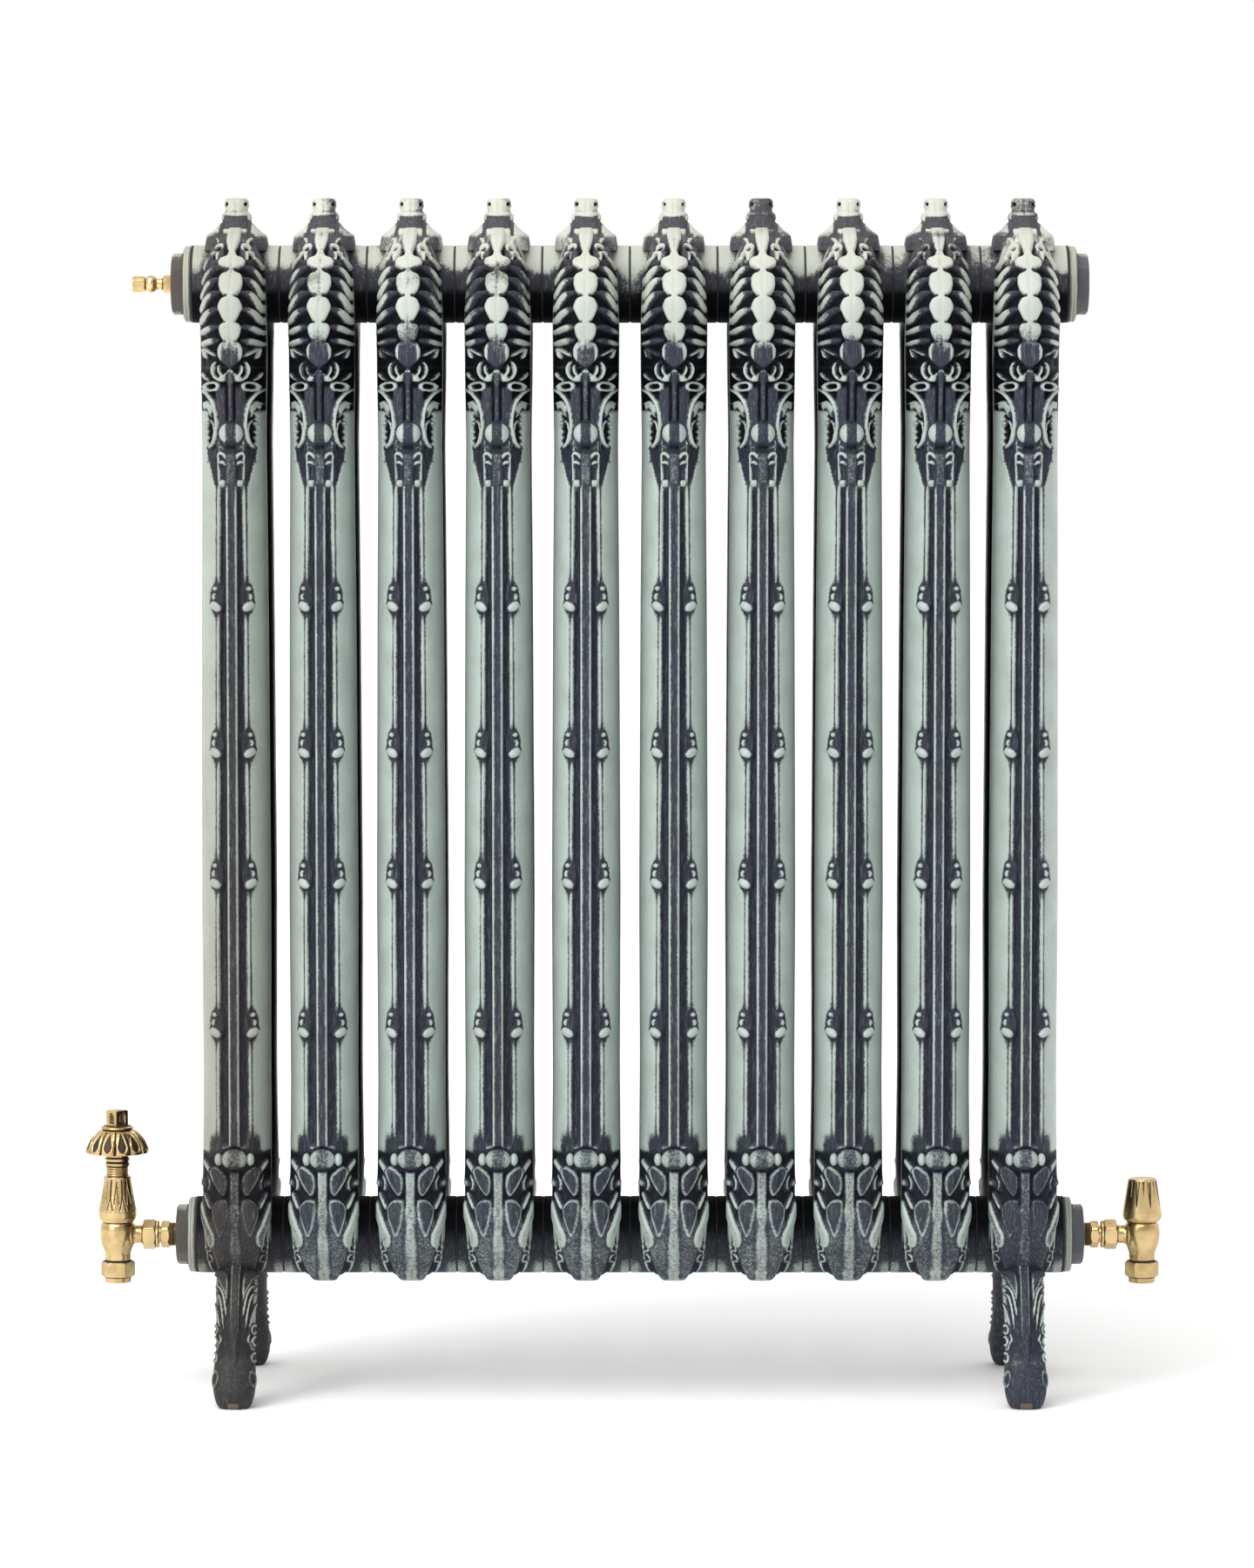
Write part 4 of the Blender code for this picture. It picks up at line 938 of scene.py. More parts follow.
def painted_iron():
    """Sage paint with a navy glaze rubbed back from the high spots; painted shade blackens the hollows, and
    the left end is painted darker and browner low down as painted shade.
    """
    paint = Paint("painted_iron")
    place = paint.place()
    x, _, z = paint.split(place)
    patina, soot, worn = (paint.attribute(name) for name in ("patina", "soot", "worn"))
    fine = paint.noise(place, 1150.0, 2.0, 0.6)
    grain = paint.noise(place, 420.0, 3.0)
    cloud = paint.noise(place, 38.0, 3.0)
    drift = paint.noise(place, 7.0, 2.0)
    brushed = paint.noise(paint.stretched(place, (900.0, 900.0, 110.0)), 1.0, 2.0)
    level = paint.unsettled(patina, (fine, 0.60), (grain, 0.40), (cloud, 0.22))
    blotch = paint.maths("MULTIPLY_ADD", paint.noise(place, 15.0, 3.0), 2.3, -1.04)
    level = paint.maths("MULTIPLY_ADD", blotch, paint.step(z, 0.79, 0.85), level)
    glaze = paint.step(level, 0.34, 0.70)
    sage = paint.blend(drift, (0.350, 0.432, 0.410), (0.398, 0.462, 0.426))
    sage = paint.blend(paint.step(cloud, 0.30, 0.75), sage, (0.322, 0.374, 0.344))
    sage = paint.blend(paint.step(z, 0.800, 0.955, 0.0, 0.62), sage, (0.600, 0.580, 0.480))
    navy = paint.blend(brushed, (0.011, 0.014, 0.024), (0.036, 0.042, 0.062))
    navy = paint.blend(paint.step(z, 0.86, 0.94, 0.0, 0.35), navy, (0.090, 0.078, 0.075))
    # Painted shade: the left end of the radiator is made darker and browner, most of all low down.
    low = paint.step(z, 0.80, 0.04, 0.40, 1.0)
    left = paint.step(x, -0.23, -0.34)
    shaded_left_end = paint.maths("MULTIPLY", low, left)
    sage = paint.blend(paint.maths("MULTIPLY", shaded_left_end, 0.75), sage, (0.215, 0.195, 0.145))
    navy = paint.blend(paint.maths("MULTIPLY", shaded_left_end, 0.85), navy, (0.026, 0.020, 0.017))
    dusty = paint.step(brushed, 0.52, 0.80, 0.0, 0.22)
    navy = paint.blend(dusty, navy, sage)
    colour = paint.blend(glaze, sage, navy)
    # Painted shade: where the painted shade value is high the colour goes near black, and the specular below
    # is lowered there too.
    black = paint.step(paint.maths("MULTIPLY_ADD", grain, 0.16, soot), 0.25, 0.90, 0.0, 0.94)
    colour = paint.blend(black, colour, (0.004, 0.004, 0.006))
    rubbed = paint.maths("MULTIPLY_ADD", cloud, 1.1, paint.maths("SUBTRACT", worn, 0.75))
    rubbed = paint.step(rubbed, 0.45, 0.75)
    colour = paint.blend(rubbed, colour, (0.12, 0.088, 0.062))
    rough = paint.maths("MULTIPLY_ADD", glaze, 0.16, paint.maths("MULTIPLY_ADD", cloud, 0.22, 0.30))
    skin = paint.bump(paint.noise(place, 230.0, 2.0), 0.30, 0.0011)
    skin = paint.bump(grain, 0.22, 0.0007, skin)
    skin = paint.bump(glaze, 0.30, 0.00012, skin)
    gloss = paint.maths("MULTIPLY_ADD", black, -0.22, 0.46)
    gloss = paint.maths("MULTIPLY_ADD", glaze, -0.22, gloss)
    paint.set(Base_Color=colour, Roughness=rough, Normal=skin, Metallic=0.0, Specular_IOR_Level=gloss)
    return paint.material


def fitting_iron():
    """Bushings and plug: the same paint and glaze, rubbed thinner."""
    paint = Paint("fitting_iron")
    place = paint.place()
    x, _, z = paint.split(place)
    patina = paint.attribute("patina")
    fine = paint.noise(place, 900.0, 3.0)
    cloud = paint.noise(place, 70.0, 4.0)
    level = paint.unsettled(patina, (fine, 0.8), (cloud, 0.6))
    glaze = paint.step(level, 0.35, 0.70)
    sage = paint.blend(cloud, (0.25, 0.29, 0.25), (0.36, 0.36, 0.29))
    sage = paint.blend(paint.step(z, 0.80, 0.93, 0.0, 0.5), sage, (0.46, 0.44, 0.35))
    dark = paint.blend(paint.step(x, -0.2, 0.2), (0.060, 0.048, 0.040), (0.060, 0.066, 0.080))
    colour = paint.blend(glaze, sage, dark)
    rough = paint.maths("MULTIPLY_ADD", fine, 0.2, 0.40)
    skin = paint.bump(cloud, 0.35, 0.0010)
    skin = paint.bump(fine, 0.30, 0.0004, skin)
    paint.set(Base_Color=colour, Roughness=rough, Normal=skin, Metallic=0.0)
    return paint.material


def antique_brass(name, lively):
    """Lacquered brass, brown in its hollows; lively is how bright the rubbed metal is."""
    paint = Paint(name)
    place = paint.place(local=True)
    patina = paint.attribute("patina")
    grain = paint.noise(place, 600.0, 3.0)
    cloud = paint.noise(place, 60.0, 3.0)
    turned = paint.noise(paint.stretched(place, (40.0, 40.0, 2600.0)), 1.0, 2.0)
    level = paint.unsettled(patina, (grain, 0.5))
    tarnish = paint.step(level, 0.30, 0.72)
    gold = tuple(lively * channel for channel in (0.72, 0.54, 0.27))
    dull = tuple(lively * channel for channel in (0.50, 0.355, 0.165))
    metal = paint.blend(paint.step(cloud, 0.35, 0.70), gold, dull)
    metal = paint.blend(paint.maths("MULTIPLY", turned, 0.25), metal, dull)
    colour = paint.blend(tarnish, metal, (0.050, 0.034, 0.022))
    rough = paint.maths("MULTIPLY_ADD", tarnish, 0.30, paint.maths("MULTIPLY_ADD", cloud, 0.14, 0.19))
    metallic = paint.maths("MULTIPLY_ADD", tarnish, -0.45, 1.0)
    skin = paint.bump(turned, 0.05, 0.0003)
    skin = paint.bump(grain, 0.06, 0.0003, skin)
    paint.set(Base_Color=colour, Roughness=rough, Metallic=metallic, Normal=skin)
    return paint.material


def plain_finish(name, light, dark, roughness, metallic, scale=300.0):
    """Two close tones in a fine grain, for the small plain pieces."""
    paint = Paint(name)
    place = paint.place(local=True)
    grain = paint.noise(place, scale, 4.0)
    cloud = paint.noise(place, scale * 0.12, 3.0)
    colour = paint.blend(paint.step(grain, 0.30, 0.70), dark, light)
    colour = paint.blend(paint.maths("MULTIPLY", cloud, 0.4), colour, dark)
    rough = paint.maths("MULTIPLY_ADD", cloud, 0.25, roughness - 0.12)
    paint.set(Base_Color=colour, Roughness=rough, Normal=paint.bump(grain, 0.15, 0.0003))
    paint.shader.inputs["Metallic"].default_value = metallic
    return paint.material


# ================================================================ placing pieces
def add_piece(name, mesh, material, body, stands_for=(), matrix=None):
    piece = bpy.data.objects.new(name, mesh)
    bpy.context.scene.collection.objects.link(piece)
    if not mesh.materials:
        mesh.materials.append(material)
    if matrix is not None:
        piece.matrix_world = matrix
    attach(piece, body)
    if stands_for:
        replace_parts(piece, *stands_for)
    return piece


def at(x, y, z, turn=None):
    move = Matrix.Translation((x * MM, y * MM, z * MM))
    return move @ turn if turn is not None else move


ALONG_X = Matrix.Rotation(0.5 * math.pi, 4, "Y")
AGAINST_X = Matrix.Rotation(-0.5 * math.pi, 4, "Y")


# ================================================================ turned pieces
def eased(profile, radius):
    """The corners of a profile of (height, radius) points, cut back a little and rounded."""
    points = np.array(profile, float)
    out = [points[0]]
    for before, corner, after in zip(points, points[1:], points[2:]):
        to_before, to_after = before - corner, after - corner
        cut = min(radius, 0.35 * np.linalg.norm(to_before), 0.35 * np.linalg.norm(to_after))
        a = corner + to_before / max(np.linalg.norm(to_before), 1e-9) * cut
        b = corner + to_after / max(np.linalg.norm(to_after), 1e-9) * cut
        out += [a, 0.25 * a + 0.5 * corner + 0.25 * b, b]
    out.append(points[-1])
    return np.array(out)


def filled_in(corners, step, closed):
    """More places along a profile, no further apart than a step."""
    after = np.roll(corners, -1, 0) if closed else corners[1:]
    line = []
    for a, b in zip(corners, after):
        parts = max(1, int(math.ceil(np.linalg.norm(b - a) / step)))
        line.append(a + (b - a) * (np.arange(parts) / parts)[:, None])
    if not closed:
        line.append(corners[-1:])
    return np.vstack(line)


def revolved(line, sides, relief):
    """Places (height, radius) swept round local Z; relief(angle, height, radius) gives radius and patina."""
    height, radius = line[:, :1], line[:, 1:]
    angles = np.linspace(0.0, 2 * math.pi, sides, endpoint=False)[None, :]
    full_radius = radius + 0.0 * angles
    patina = np.zeros_like(full_radius)
    if relief is not None:
        full_radius, patina = relief(angles + 0.0 * radius, height + 0.0 * angles, full_radius)
    full_radius = np.maximum(full_radius, 0.02)
    x, y = full_radius * np.cos(angles), full_radius * np.sin(angles)
    return np.stack((x, y, height + 0.0 * angles), -1), {"patina": np.clip(patina, 0.0, 1.2)}


def turned(shape, profile, sides, step=0.5, ease=0.35, relief=None, transform=None):
    """A turned piece from a profile that starts and ends on the axis."""
    grid, values = revolved(filled_in(eased(profile, ease), step, False), sides, relief)
    if transform is not None:
        grid = grid @ np.array(transform.to_3x3()).T + np.array(transform.translation)
    shape.add_grid(grid, values, caps=True)


def tube(shape, profile, sides, step=0.6, ease=0.35, relief=None):
    """A turned tube: its profile runs round the material and meets itself."""
    corners = eased(profile + profile[:2], ease)[1:-1]
    grid, values = revolved(filled_in(corners, step, True), sides, relief)
    shape.add_grid(grid, values, closed_rows=True)


def add_brass(name, make, profile, sides, finish, body, node, place, **settings):
    """A turned piece or tube of brass that stands for one CAD node."""
    shape = Shape()
    make(shape, profile, sides, **settings)
    add_piece(name, shape.mesh(name), finish, body, (node,), place)


def polygon_radius(angle, apothem, flats):
    half = math.pi / flats
    return apothem / np.cos(np.mod(angle, 2 * half) - half)


def faceted(angle, height, radius, apothem, flats, low, high):
    """Cuts flats into a turned blank between two heights; the blank's own shape chamfers their corners."""
    within = (height >= low - 1e-6) & (height <= high + 1e-6)
    return np.where(within, np.minimum(radius, polygon_radius(angle, apothem, flats)), radius)


# ================================================================ bushings, plug and gaskets
def bushing_relief(angle, height, radius):
    """The hexagon of a bushing, its flange's groove, and a thicker glaze in the corner between them."""
    radius = faceted(angle, height, radius, 21.25, 6, 6.3, 15.9)
    corner = bell(height, 6.3, 1.1) + 0.5 * bell(height, 1.1, 0.5)
    face = np.where(height > 6.6, 0.30 + 0.55 * smooth(0.2, -0.6, np.sin(angle)), 0.18)
    return radius, np.clip(face + 0.8 * corner, 0.0, 1.2)


def bushing_mesh(name, bore):
    shape = Shape()
    blank = [(-15.5, 0.0), (-15.5, 20.5), (0.0, 20.8), (0.0, 29.6), (0.7, 30.5), (2.2, 30.5), (2.7, 30.0),
             (3.1, 30.0), (3.6, 30.4), (5.0, 30.2), (6.0, 28.6), (6.1, 24.5), (14.2, 24.5), (15.8, 22.6)]
    if bore > 0.0:
        blank += [(15.8, bore + 1.0), (14.8, bore), (12.0, bore), (12.0, 0.0)]
    else:
        blank += [(15.8, 16.0), (15.3, 15.0), (15.3, 0.0)]
    turned(shape, blank, 192, step=0.7, ease=0.4, relief=bushing_relief)
    return shape.mesh(name)


def gasket_mesh(name, outer):
    """A thin fibre washer with a slightly uneven outer edge."""
    def relief(angle, height, radius):
        return radius + 0.12 * np.sin(9 * angle) * (radius > 26.0), 0.0 * radius

    section = ((0.0, GASKET_BORE), (0.0, outer), (GASKET_THICKNESS, outer), (GASKET_THICKNESS, GASKET_BORE))
    shape = Shape()
    grid, values = revolved(eased(section, 0.25), 120, relief)
    shape.add_grid(grid, values, closed_rows=True)
    return shape.mesh(name)


def add_bushings(finish, rubber):
    seats = (
        ("air_vent_bushing", -1, TOP_HUB_Z, 5.3),
        ("blank_plug", 1, TOP_HUB_Z, 0.0),
        ("thermostatic_valve_bushing", -1, BOTTOM_HUB_Z, 10.4),
        ("lockshield_bushing", 1, BOTTOM_HUB_Z, 10.4),
    )
    for name, side, height, bore in seats:
        turn = ALONG_X if side > 0 else AGAINST_X
        mesh = bushing_mesh(name + "_casting", bore)
        add_piece(name + "_casting", mesh, finish, "radiator", (name,),
                  at(CENTRE_X + side * FLANGE_FACE, 0.0, height, turn))
        seal = gasket_mesh(name + "_seal", 30.9)
        add_piece(name + "_seal", seal, rubber, "radiator", (name + "_gasket",),
                  at(CENTRE_X + side * (FLANGE_FACE - 1.65), 0.0, height, turn))


def add_section_gaskets(rubber):
    mesh = gasket_mesh("section_gasket", HUB_RADIUS - 0.5)
    for level, height in (("bottom", BOTTOM_HUB_Z), ("top", TOP_HUB_Z)):
        for joint in range(1, SECTION_COUNT):
            x = FIRST_SECTION_X + (joint - 0.5) * SECTION_PITCH - 0.5 * GASKET_THICKNESS
            add_piece(f"{level}_gasket_{joint}", mesh, rubber, "radiator", (),
                      at(x, 0.0, height, ALONG_X))


# ================================================================ air vent
def add_air_vent(brass):
    seat = at(CENTRE_X - BUSHING_END, 0.0, TOP_HUB_Z, AGAINST_X)
    drain = math.radians(-52.0)

    def body_relief(angle, height, radius):
        radius = faceted(angle, height, radius, 6.25, 6, 0.4, 6.9)
        across = (np.mod(angle - math.pi * 0.5 - drain + math.pi, 2 * math.pi) - math.pi) * radius
        hole = smooth(1.35, 0.9, np.hypot(across, height - 17.4))
        ring = bell(np.hypot(across, height - 17.4), 1.7, 0.5)
        shade = 0.85 * bell(height, 7.6, 0.8) + 0.5 * bell(height, 12.4, 0.9)
        return radius - 4.0 * hole + 0.25 * ring, np.clip(shade + 1.2 * hole, 0, 1.2)

    profile = [(-9.0, 0.0), (-9.0, 4.7), (0.3, 4.7), (0.3, 6.6), (1.0, 7.2), (6.2, 7.2), (7.0, 6.4),
               (7.4, 4.6), (12.3, 4.4), (13.4, 5.4), (15.0, 6.7), (17.0, 7.15), (19.0, 6.7), (20.7, 5.6),
               (21.5, 4.8), (21.5, 0.0)]
    add_brass("vent_body", turned, profile, 160, brass, "radiator", "air_vent_body", seat, step=0.35,
              relief=body_relief)

    def knob_relief(angle, height, radius):
        radius = faceted(angle, height, radius, 5.7, 6, 22.0, 31.8)
        return radius, 0.5 * bell(height, 22.0, 0.5)

    profile = [(18.0, 0.0), (18.0, 2.1), (21.9, 2.1), (21.9, 5.7), (22.6, 6.4), (31.0, 6.4), (31.9, 5.7),
               (31.9, 2.9), (31.4, 2.5), (27.0, 2.5), (27.0, 0.0)]
    add_brass("vent_bleed_screw", turned, profile, 120, brass, "bleed_screw", "air_vent_bleed_screw", seat,
              step=0.4, relief=knob_relief)


# ================================================================ valves
def body_mesh(name):
    """Pear shaped body with its spigot; the branch leaves it along local X."""
    shape = Shape()

    def relief(angle, height, radius):
        shade = 0.9 * bell(height, -21.2, 0.7) + 0.35 * bell(height, 10.4, 0.8)
        threads = np.where(height < -21.5, 0.35 * np.sin(height * 2 * math.pi / 1.4), 0.0) * (radius > 8.0)
        return radius + threads, np.clip(shade + np.where(height < -21.5, 0.7, 0.0), 0, 1.2)

    upright = [(-29.8, 0.0), (-29.8, 8.5), (-21.3, 8.6), (-21.2, 9.6), (-20.6, 10.3), (-15.2, 10.5),
               (-12.0, 11.6), (-8.4, 13.0), (-4.0, 14.0), (0.6, 14.4), (4.6, 14.3), (7.6, 13.7),
               (9.2, 12.8), (10.1, 12.2), (10.1, 8.2), (16.5, 8.2), (16.5, 0.0)]
    turned(shape, upright, 160, ease=0.5, relief=relief)
    branch = Shape()

    def collar(angle, height, radius):
        return radius, 0.55 * bell(height, 12.6, 1.4) + 0.5 * bell(height, 20.4, 0.6)

    sideways = [(6.0, 0.0), (6.0, 9.6), (11.6, 9.6), (13.2, 8.0), (15.0, 7.4), (19.4, 7.4), (20.3, 8.2),
                (20.5, 8.8), (27.4, 8.8), (27.4, 0.0)]
    turned(branch, sideways, 112, relief=collar, transform=ALONG_X)
    shape.add(branch.points[0], branch.faces, {"patina": branch.values["patina"][0]})
    return shape.mesh(name)


def compression_nut(name):
    def relief(angle, height, radius):
        radius = faceted(angle, height, radius, 12.0, 6, -34.2, -21.9)
        return radius, 0.75 * bell(height, -34.6, 0.7) + 0.7 * smooth(-22.6, -21.8, height)

    shape = Shape()
    profile = [(-39.0, 7.6), (-39.0, 10.2), (-38.2, 10.8), (-34.6, 10.8), (-34.2, 12.2), (-33.2, 13.7),
               (-22.9, 13.7), (-21.8, 12.2), (-21.8, 9.3), (-33.6, 9.3), (-33.8, 7.6)]
    tube(shape, profile, 144, relief=relief)
    return shape.mesh(name)


def union_nut(name):
    def relief(angle, height, radius):
        radius = faceted(angle, height, radius, 10.75, 6, 20.9, 30.6)
        knurl = (height > 31.0) * (radius > 8.0)
        return radius + 0.15 * np.sin(48 * angle) * knurl, 0.75 * bell(height, 30.9, 0.45) + 0.25 * knurl

    shape = Shape()
    profile = [(20.9, 9.4), (20.9, 11.2), (21.7, 12.2), (29.9, 12.2), (30.7, 11.0), (31.0, 10.3),
               (31.5, 10.8), (33.0, 10.8), (33.8, 10.1), (33.8, 7.1), (31.4, 7.1), (31.4, 9.4)]
    tube(shape, profile, 144, relief=relief)
    return shape.mesh(name)


def tailpiece(name):
    def relief(angle, height, radius):
        radius = faceted(angle, height, radius, 10.0, 6, 35.6, 41.8)
        thread = (height > 42.4) * (radius > 8.0)
        return (radius + 0.45 * thread * np.sin(height * 2 * math.pi / 1.55),
                thread * (0.62 - 0.45 * np.sin(height * 2 * math.pi / 1.55)) + 0.6 * bell(height, 42.1, 0.4))

    shape = Shape()
    profile = [(27.9, 0.0), (27.9, 8.7), (31.1, 8.7), (31.2, 6.7), (35.4, 6.7), (35.6, 10.0), (36.2, 10.9),
               (41.2, 10.9), (42.0, 10.2), (42.3, 9.4), (59.0, 9.4), (59.0, 0.0)]
    turned(shape, profile, 120, step=0.3, relief=relief)
    return shape.mesh(name)


def o_ring(name):
    shape = Shape()
    angles = np.linspace(0.0, 2 * math.pi, 96, endpoint=False)[None, :]
    around = np.linspace(0.0, 2 * math.pi, 16, endpoint=False)[:, None]
    radius = 10.0 + 0.62 * np.cos(around) + 0.0 * angles
    height = -21.5 + 0.45 * np.sin(around) + 0.0 * angles
    grid = np.stack((radius * np.cos(angles), radius * np.sin(angles), height), -1)
    shape.add_grid(grid, closed_rows=True)
    return shape.mesh(name)


def add_valve_base(prefix, side, brass, rubber):
    turn = 0.0 if side < 0 else math.pi
    upright = at(CENTRE_X + side * VALVE_AXIS, 0.0, BOTTOM_HUB_Z, Matrix.Rotation(turn, 4, "Z"))
    along = at(CENTRE_X + side * VALVE_AXIS, 0.0, BOTTOM_HUB_Z, Matrix.Rotation(turn, 4, "Z") @ ALONG_X)
    for part, mesh, matrix in (
        ("body", body_mesh(prefix + "_cast_body"), upright),
        ("compression_nut", compression_nut(prefix + "_hex_nut"), upright),
        ("union_nut", union_nut(prefix + "_union"), along),
        ("tailpiece", tailpiece(prefix + "_tail"), along),
    ):
        add_piece(mesh.name, mesh, brass, "radiator", (f"{prefix}_{part}",), matrix)
    add_piece(prefix + "_o_ring", o_ring(prefix + "_o_ring"), rubber, "radiator", (), upright)


def local_share(angle, count):
    """Place across a repeat: 0 in its middle, 1 at its edges."""
    return np.abs(2.0 * np.mod(angle / (2 * math.pi) * count, 1.0) - 1.0)


def sleeve_relief(angle, height, radius):
    """Eight pointed leaves: a slot down each middle, which forks into a chevron near the bottom."""
    share = local_share(angle, 8)
    slot = smooth(0.20, 0.08, share) * smooth(29.0, 33.0, height) * smooth(46.4, 44.6, height)
    arm = np.abs(share - np.clip((31.5 - height) / 11.0, 0.0, 1.0) * 0.50)
    fork = smooth(0.12, 0.03, arm) * smooth(19.4, 22.0, height) * smooth(34.0, 30.5, height)
    edge = np.abs(share - 1.0 + 0.34 * smooth(46.0, 26.0, height))
    leaf_edge = smooth(0.10, 0.03, edge) * smooth(24.0, 27.0, height) * smooth(46.0, 44.0, height)
    cut = np.maximum(np.maximum(slot, fork), 0.7 * leaf_edge)
    outside = radius > 9.0
    lip = 0.5 * bell(height, 45.9, 0.35)
    return radius - 0.75 * cut * outside, (1.05 * cut + lip) * outside


def add_fluted_sleeve(brass, place):
    profile = [(10.5, 8.8), (10.5, 13.2), (11.4, 13.9), (13.6, 15.0), (15.4, 15.3), (18.6, 15.3),
               (21.5, 15.0), (26.0, 14.2), (32.4, 12.9), (40.0, 11.6), (45.6, 10.8), (46.2, 11.1),
               (47.4, 11.0), (47.4, 7.5), (17.0, 7.5), (17.0, 8.8)]
    add_brass("thermostatic_sleeve", tube, profile, 256, brass, "radiator",
              "thermostatic_valve_fluted_sleeve", place, relief=sleeve_relief)


def add_ringed_neck(brass, place):
    rings = ((56.4, 58.6), (60.0, 62.3), (63.6, 65.6))

    def relief(angle, height, radius):
        outside = radius > 8.0
        fine = (height < 55.6) * outside * (0.5 + 0.5 * np.sin((height - 47.7) * 2 * math.pi / 1.45))
        big = np.zeros_like(height)
        for low, high in rings:
            above = smooth(low - 0.25, low + 0.25, height)
            big = np.maximum(big, above * smooth(high + 0.25, high - 0.25, height))
        groove = (height > 55.8) * (1.0 - big) * outside
        return radius - 0.35 * fine - 1.5 * groove, 0.75 * fine * fine + 1.05 * groove

    profile = [(37.4, 6.1), (37.4, 7.1), (47.7, 7.1), (47.7, 9.0), (55.6, 9.0), (56.0, 10.1), (66.0, 10.1),
               (66.0, 6.1)]
    add_brass("thermostatic_neck", tube, profile, 96, brass, "radiator", "thermostatic_valve_ringed_neck",
              place, step=0.18, ease=0.2, relief=relief)


def petal_relief(angle, height, radius):
    """Twelve arched petals on the dome, each framing a sunk teardrop, with a dark cleft between them."""
    share = local_share(angle, 12)
    up = np.clip((height - 66.6) / 19.2, 0.0, 1.0)
    dome = (radius > 11.6) * (height > 66.5)
    rim = smooth(0.75, 0.15, up)
    lobe = 1.7 * share ** 2.4 * rim
    rise = np.where(up < 0.40, np.sqrt(np.clip(1 - ((up - 0.40) / 0.27) ** 2, 0, 1)),
                    np.clip(1 - (up - 0.40) / 0.50, 0, 1) ** 0.7)
    drop = smooth(0.56 * rise + 0.06, 0.56 * rise - 0.10, share) * (rise > 0.02)
    cleft = smooth(0.80, 0.93, share) * smooth(1.0, 0.93, up)
    frame = bell(share, 0.56 * rise + 0.16, 0.13) * (up > 0.08) * (up < 0.95)
    cut = -lobe - 1.1 * drop - 1.2 * cleft + 0.35 * frame
    shade = (0.92 * drop + 0.98 * cleft) * dome
    return radius + cut * dome, shade + 0.25 * smooth(70.0, 66.4, height) * (share > 0.8)


def add_handwheel(brass, place):
    profile = [(52.0, 0.0), (52.0, 5.6), (75.4, 5.6), (76.2, 14.6), (71.5, 19.5), (67.4, 22.6), (66.6, 24.6),
               (67.2, 25.6), (69.0, 25.5), (71.5, 24.7), (74.6, 23.4), (77.8, 21.4), (80.8, 18.9),
               (83.4, 16.2), (85.2, 13.6), (86.0, 11.4), (86.0, 0.0)]
    add_brass("thermostatic_petals", turned, profile, 384, brass, "thermostatic_head",
              "thermostatic_valve_handwheel", place, step=0.45, ease=0.5, relief=petal_relief)


def finial_relief(angle, height, radius):
    """A square post, corner to the front, with a sunk arched panel on each face."""
    post = (height > 88.7) * (radius > 3.0)
    face = np.mod(angle, 0.5 * math.pi) - 0.25 * math.pi
    square = 6.2 / np.cos(face)
    along = 6.2 * np.tan(face)
    panel = np.minimum(3.5 - np.abs(along), np.minimum(height - 90.6, 99.6 - height - 0.28 * along ** 2))
    sunk = smooth(0.0, 0.5, panel) * post
    inner = bell(panel, 1.6, 0.42) * post
    shaped = np.where(post, np.minimum(radius, square - 0.95 * sunk + 0.5 * inner), radius)
    return shaped, (1.05 * sunk - 0.75 * inner) * post + 0.7 * bell(height, 88.7, 0.4)


def add_finial(brass, place):
    profile = [(79.0, 0.0), (79.0, 2.8), (86.2, 2.8), (86.3, 12.8), (86.9, 13.5), (87.6, 13.3), (88.1, 12.6),
               (88.6, 11.0), (88.7, 9.0), (100.2, 9.0), (101.2, 8.4), (101.9, 0.0)]
    add_brass("thermostatic_post", turned, profile, 256, brass, "thermostatic_head",
              "thermostatic_valve_finial", place, step=0.35, ease=0.25, relief=finial_relief)


def cap_relief(angle, height, radius):
    """Long pointed flutes that taper down from just under the cap's flat top."""
    share = local_share(angle, 8)
    reach = np.clip((height - 23.5) / 20.0, 0.0, 1.0)
    flute = smooth(0.30 * reach + 0.02, 0.30 * reach - 0.12, share) * (reach > 0.0)
    flute = flute * smooth(45.0, 43.6, height)
    rib = np.clip((height - 30.0) / 13.0, 0.0, 1.0)
    between = smooth(1.0 - 0.18 * rib, 1.06 - 0.18 * rib, share) * (rib > 0) * smooth(44.8, 43.6, height)
    outside = (radius > 9.0) * (height < 45.2)
    shade = 0.9 * smooth(0.13, 0.04, np.abs(share - 0.30 * reach)) * (reach > 0) * (height < 44.0)
    return radius - (0.85 * flute + 0.5 * between) * outside, (0.45 * flute + shade + 0.8 * between) * outside


def add_lockshield_cap(brass, place):
    profile = [(43.0, 0.0), (43.0, 8.8), (17.0, 8.9), (10.5, 8.9), (10.5, 13.0), (11.3, 13.8), (13.0, 15.3),
               (15.0, 15.9), (18.8, 15.6), (23.0, 15.0), (30.0, 13.9), (38.0, 12.6), (44.8, 11.5),
               (45.6, 10.9), (45.6, 9.6), (45.3, 9.2), (45.3, 0.0)]
    add_brass("lockshield_fluted_cap", turned, profile, 256, brass, "lockshield_cap", "lockshield_cap", place,
              step=0.45, ease=0.4, relief=cap_relief)


def add_valves(brass, rubber):
    for prefix, side in (("thermostatic_valve", -1), ("lockshield", 1)):
        add_valve_base(prefix, side, brass, rubber)
    left = at(CENTRE_X - VALVE_AXIS, 0.0, BOTTOM_HUB_Z)
    right = at(CENTRE_X + VALVE_AXIS, 0.0, BOTTOM_HUB_Z)
    add_fluted_sleeve(brass, left)
    add_ringed_neck(brass, left)
    add_handwheel(brass, left)
    add_finial(brass, left)
    add_lockshield_cap(brass, right)


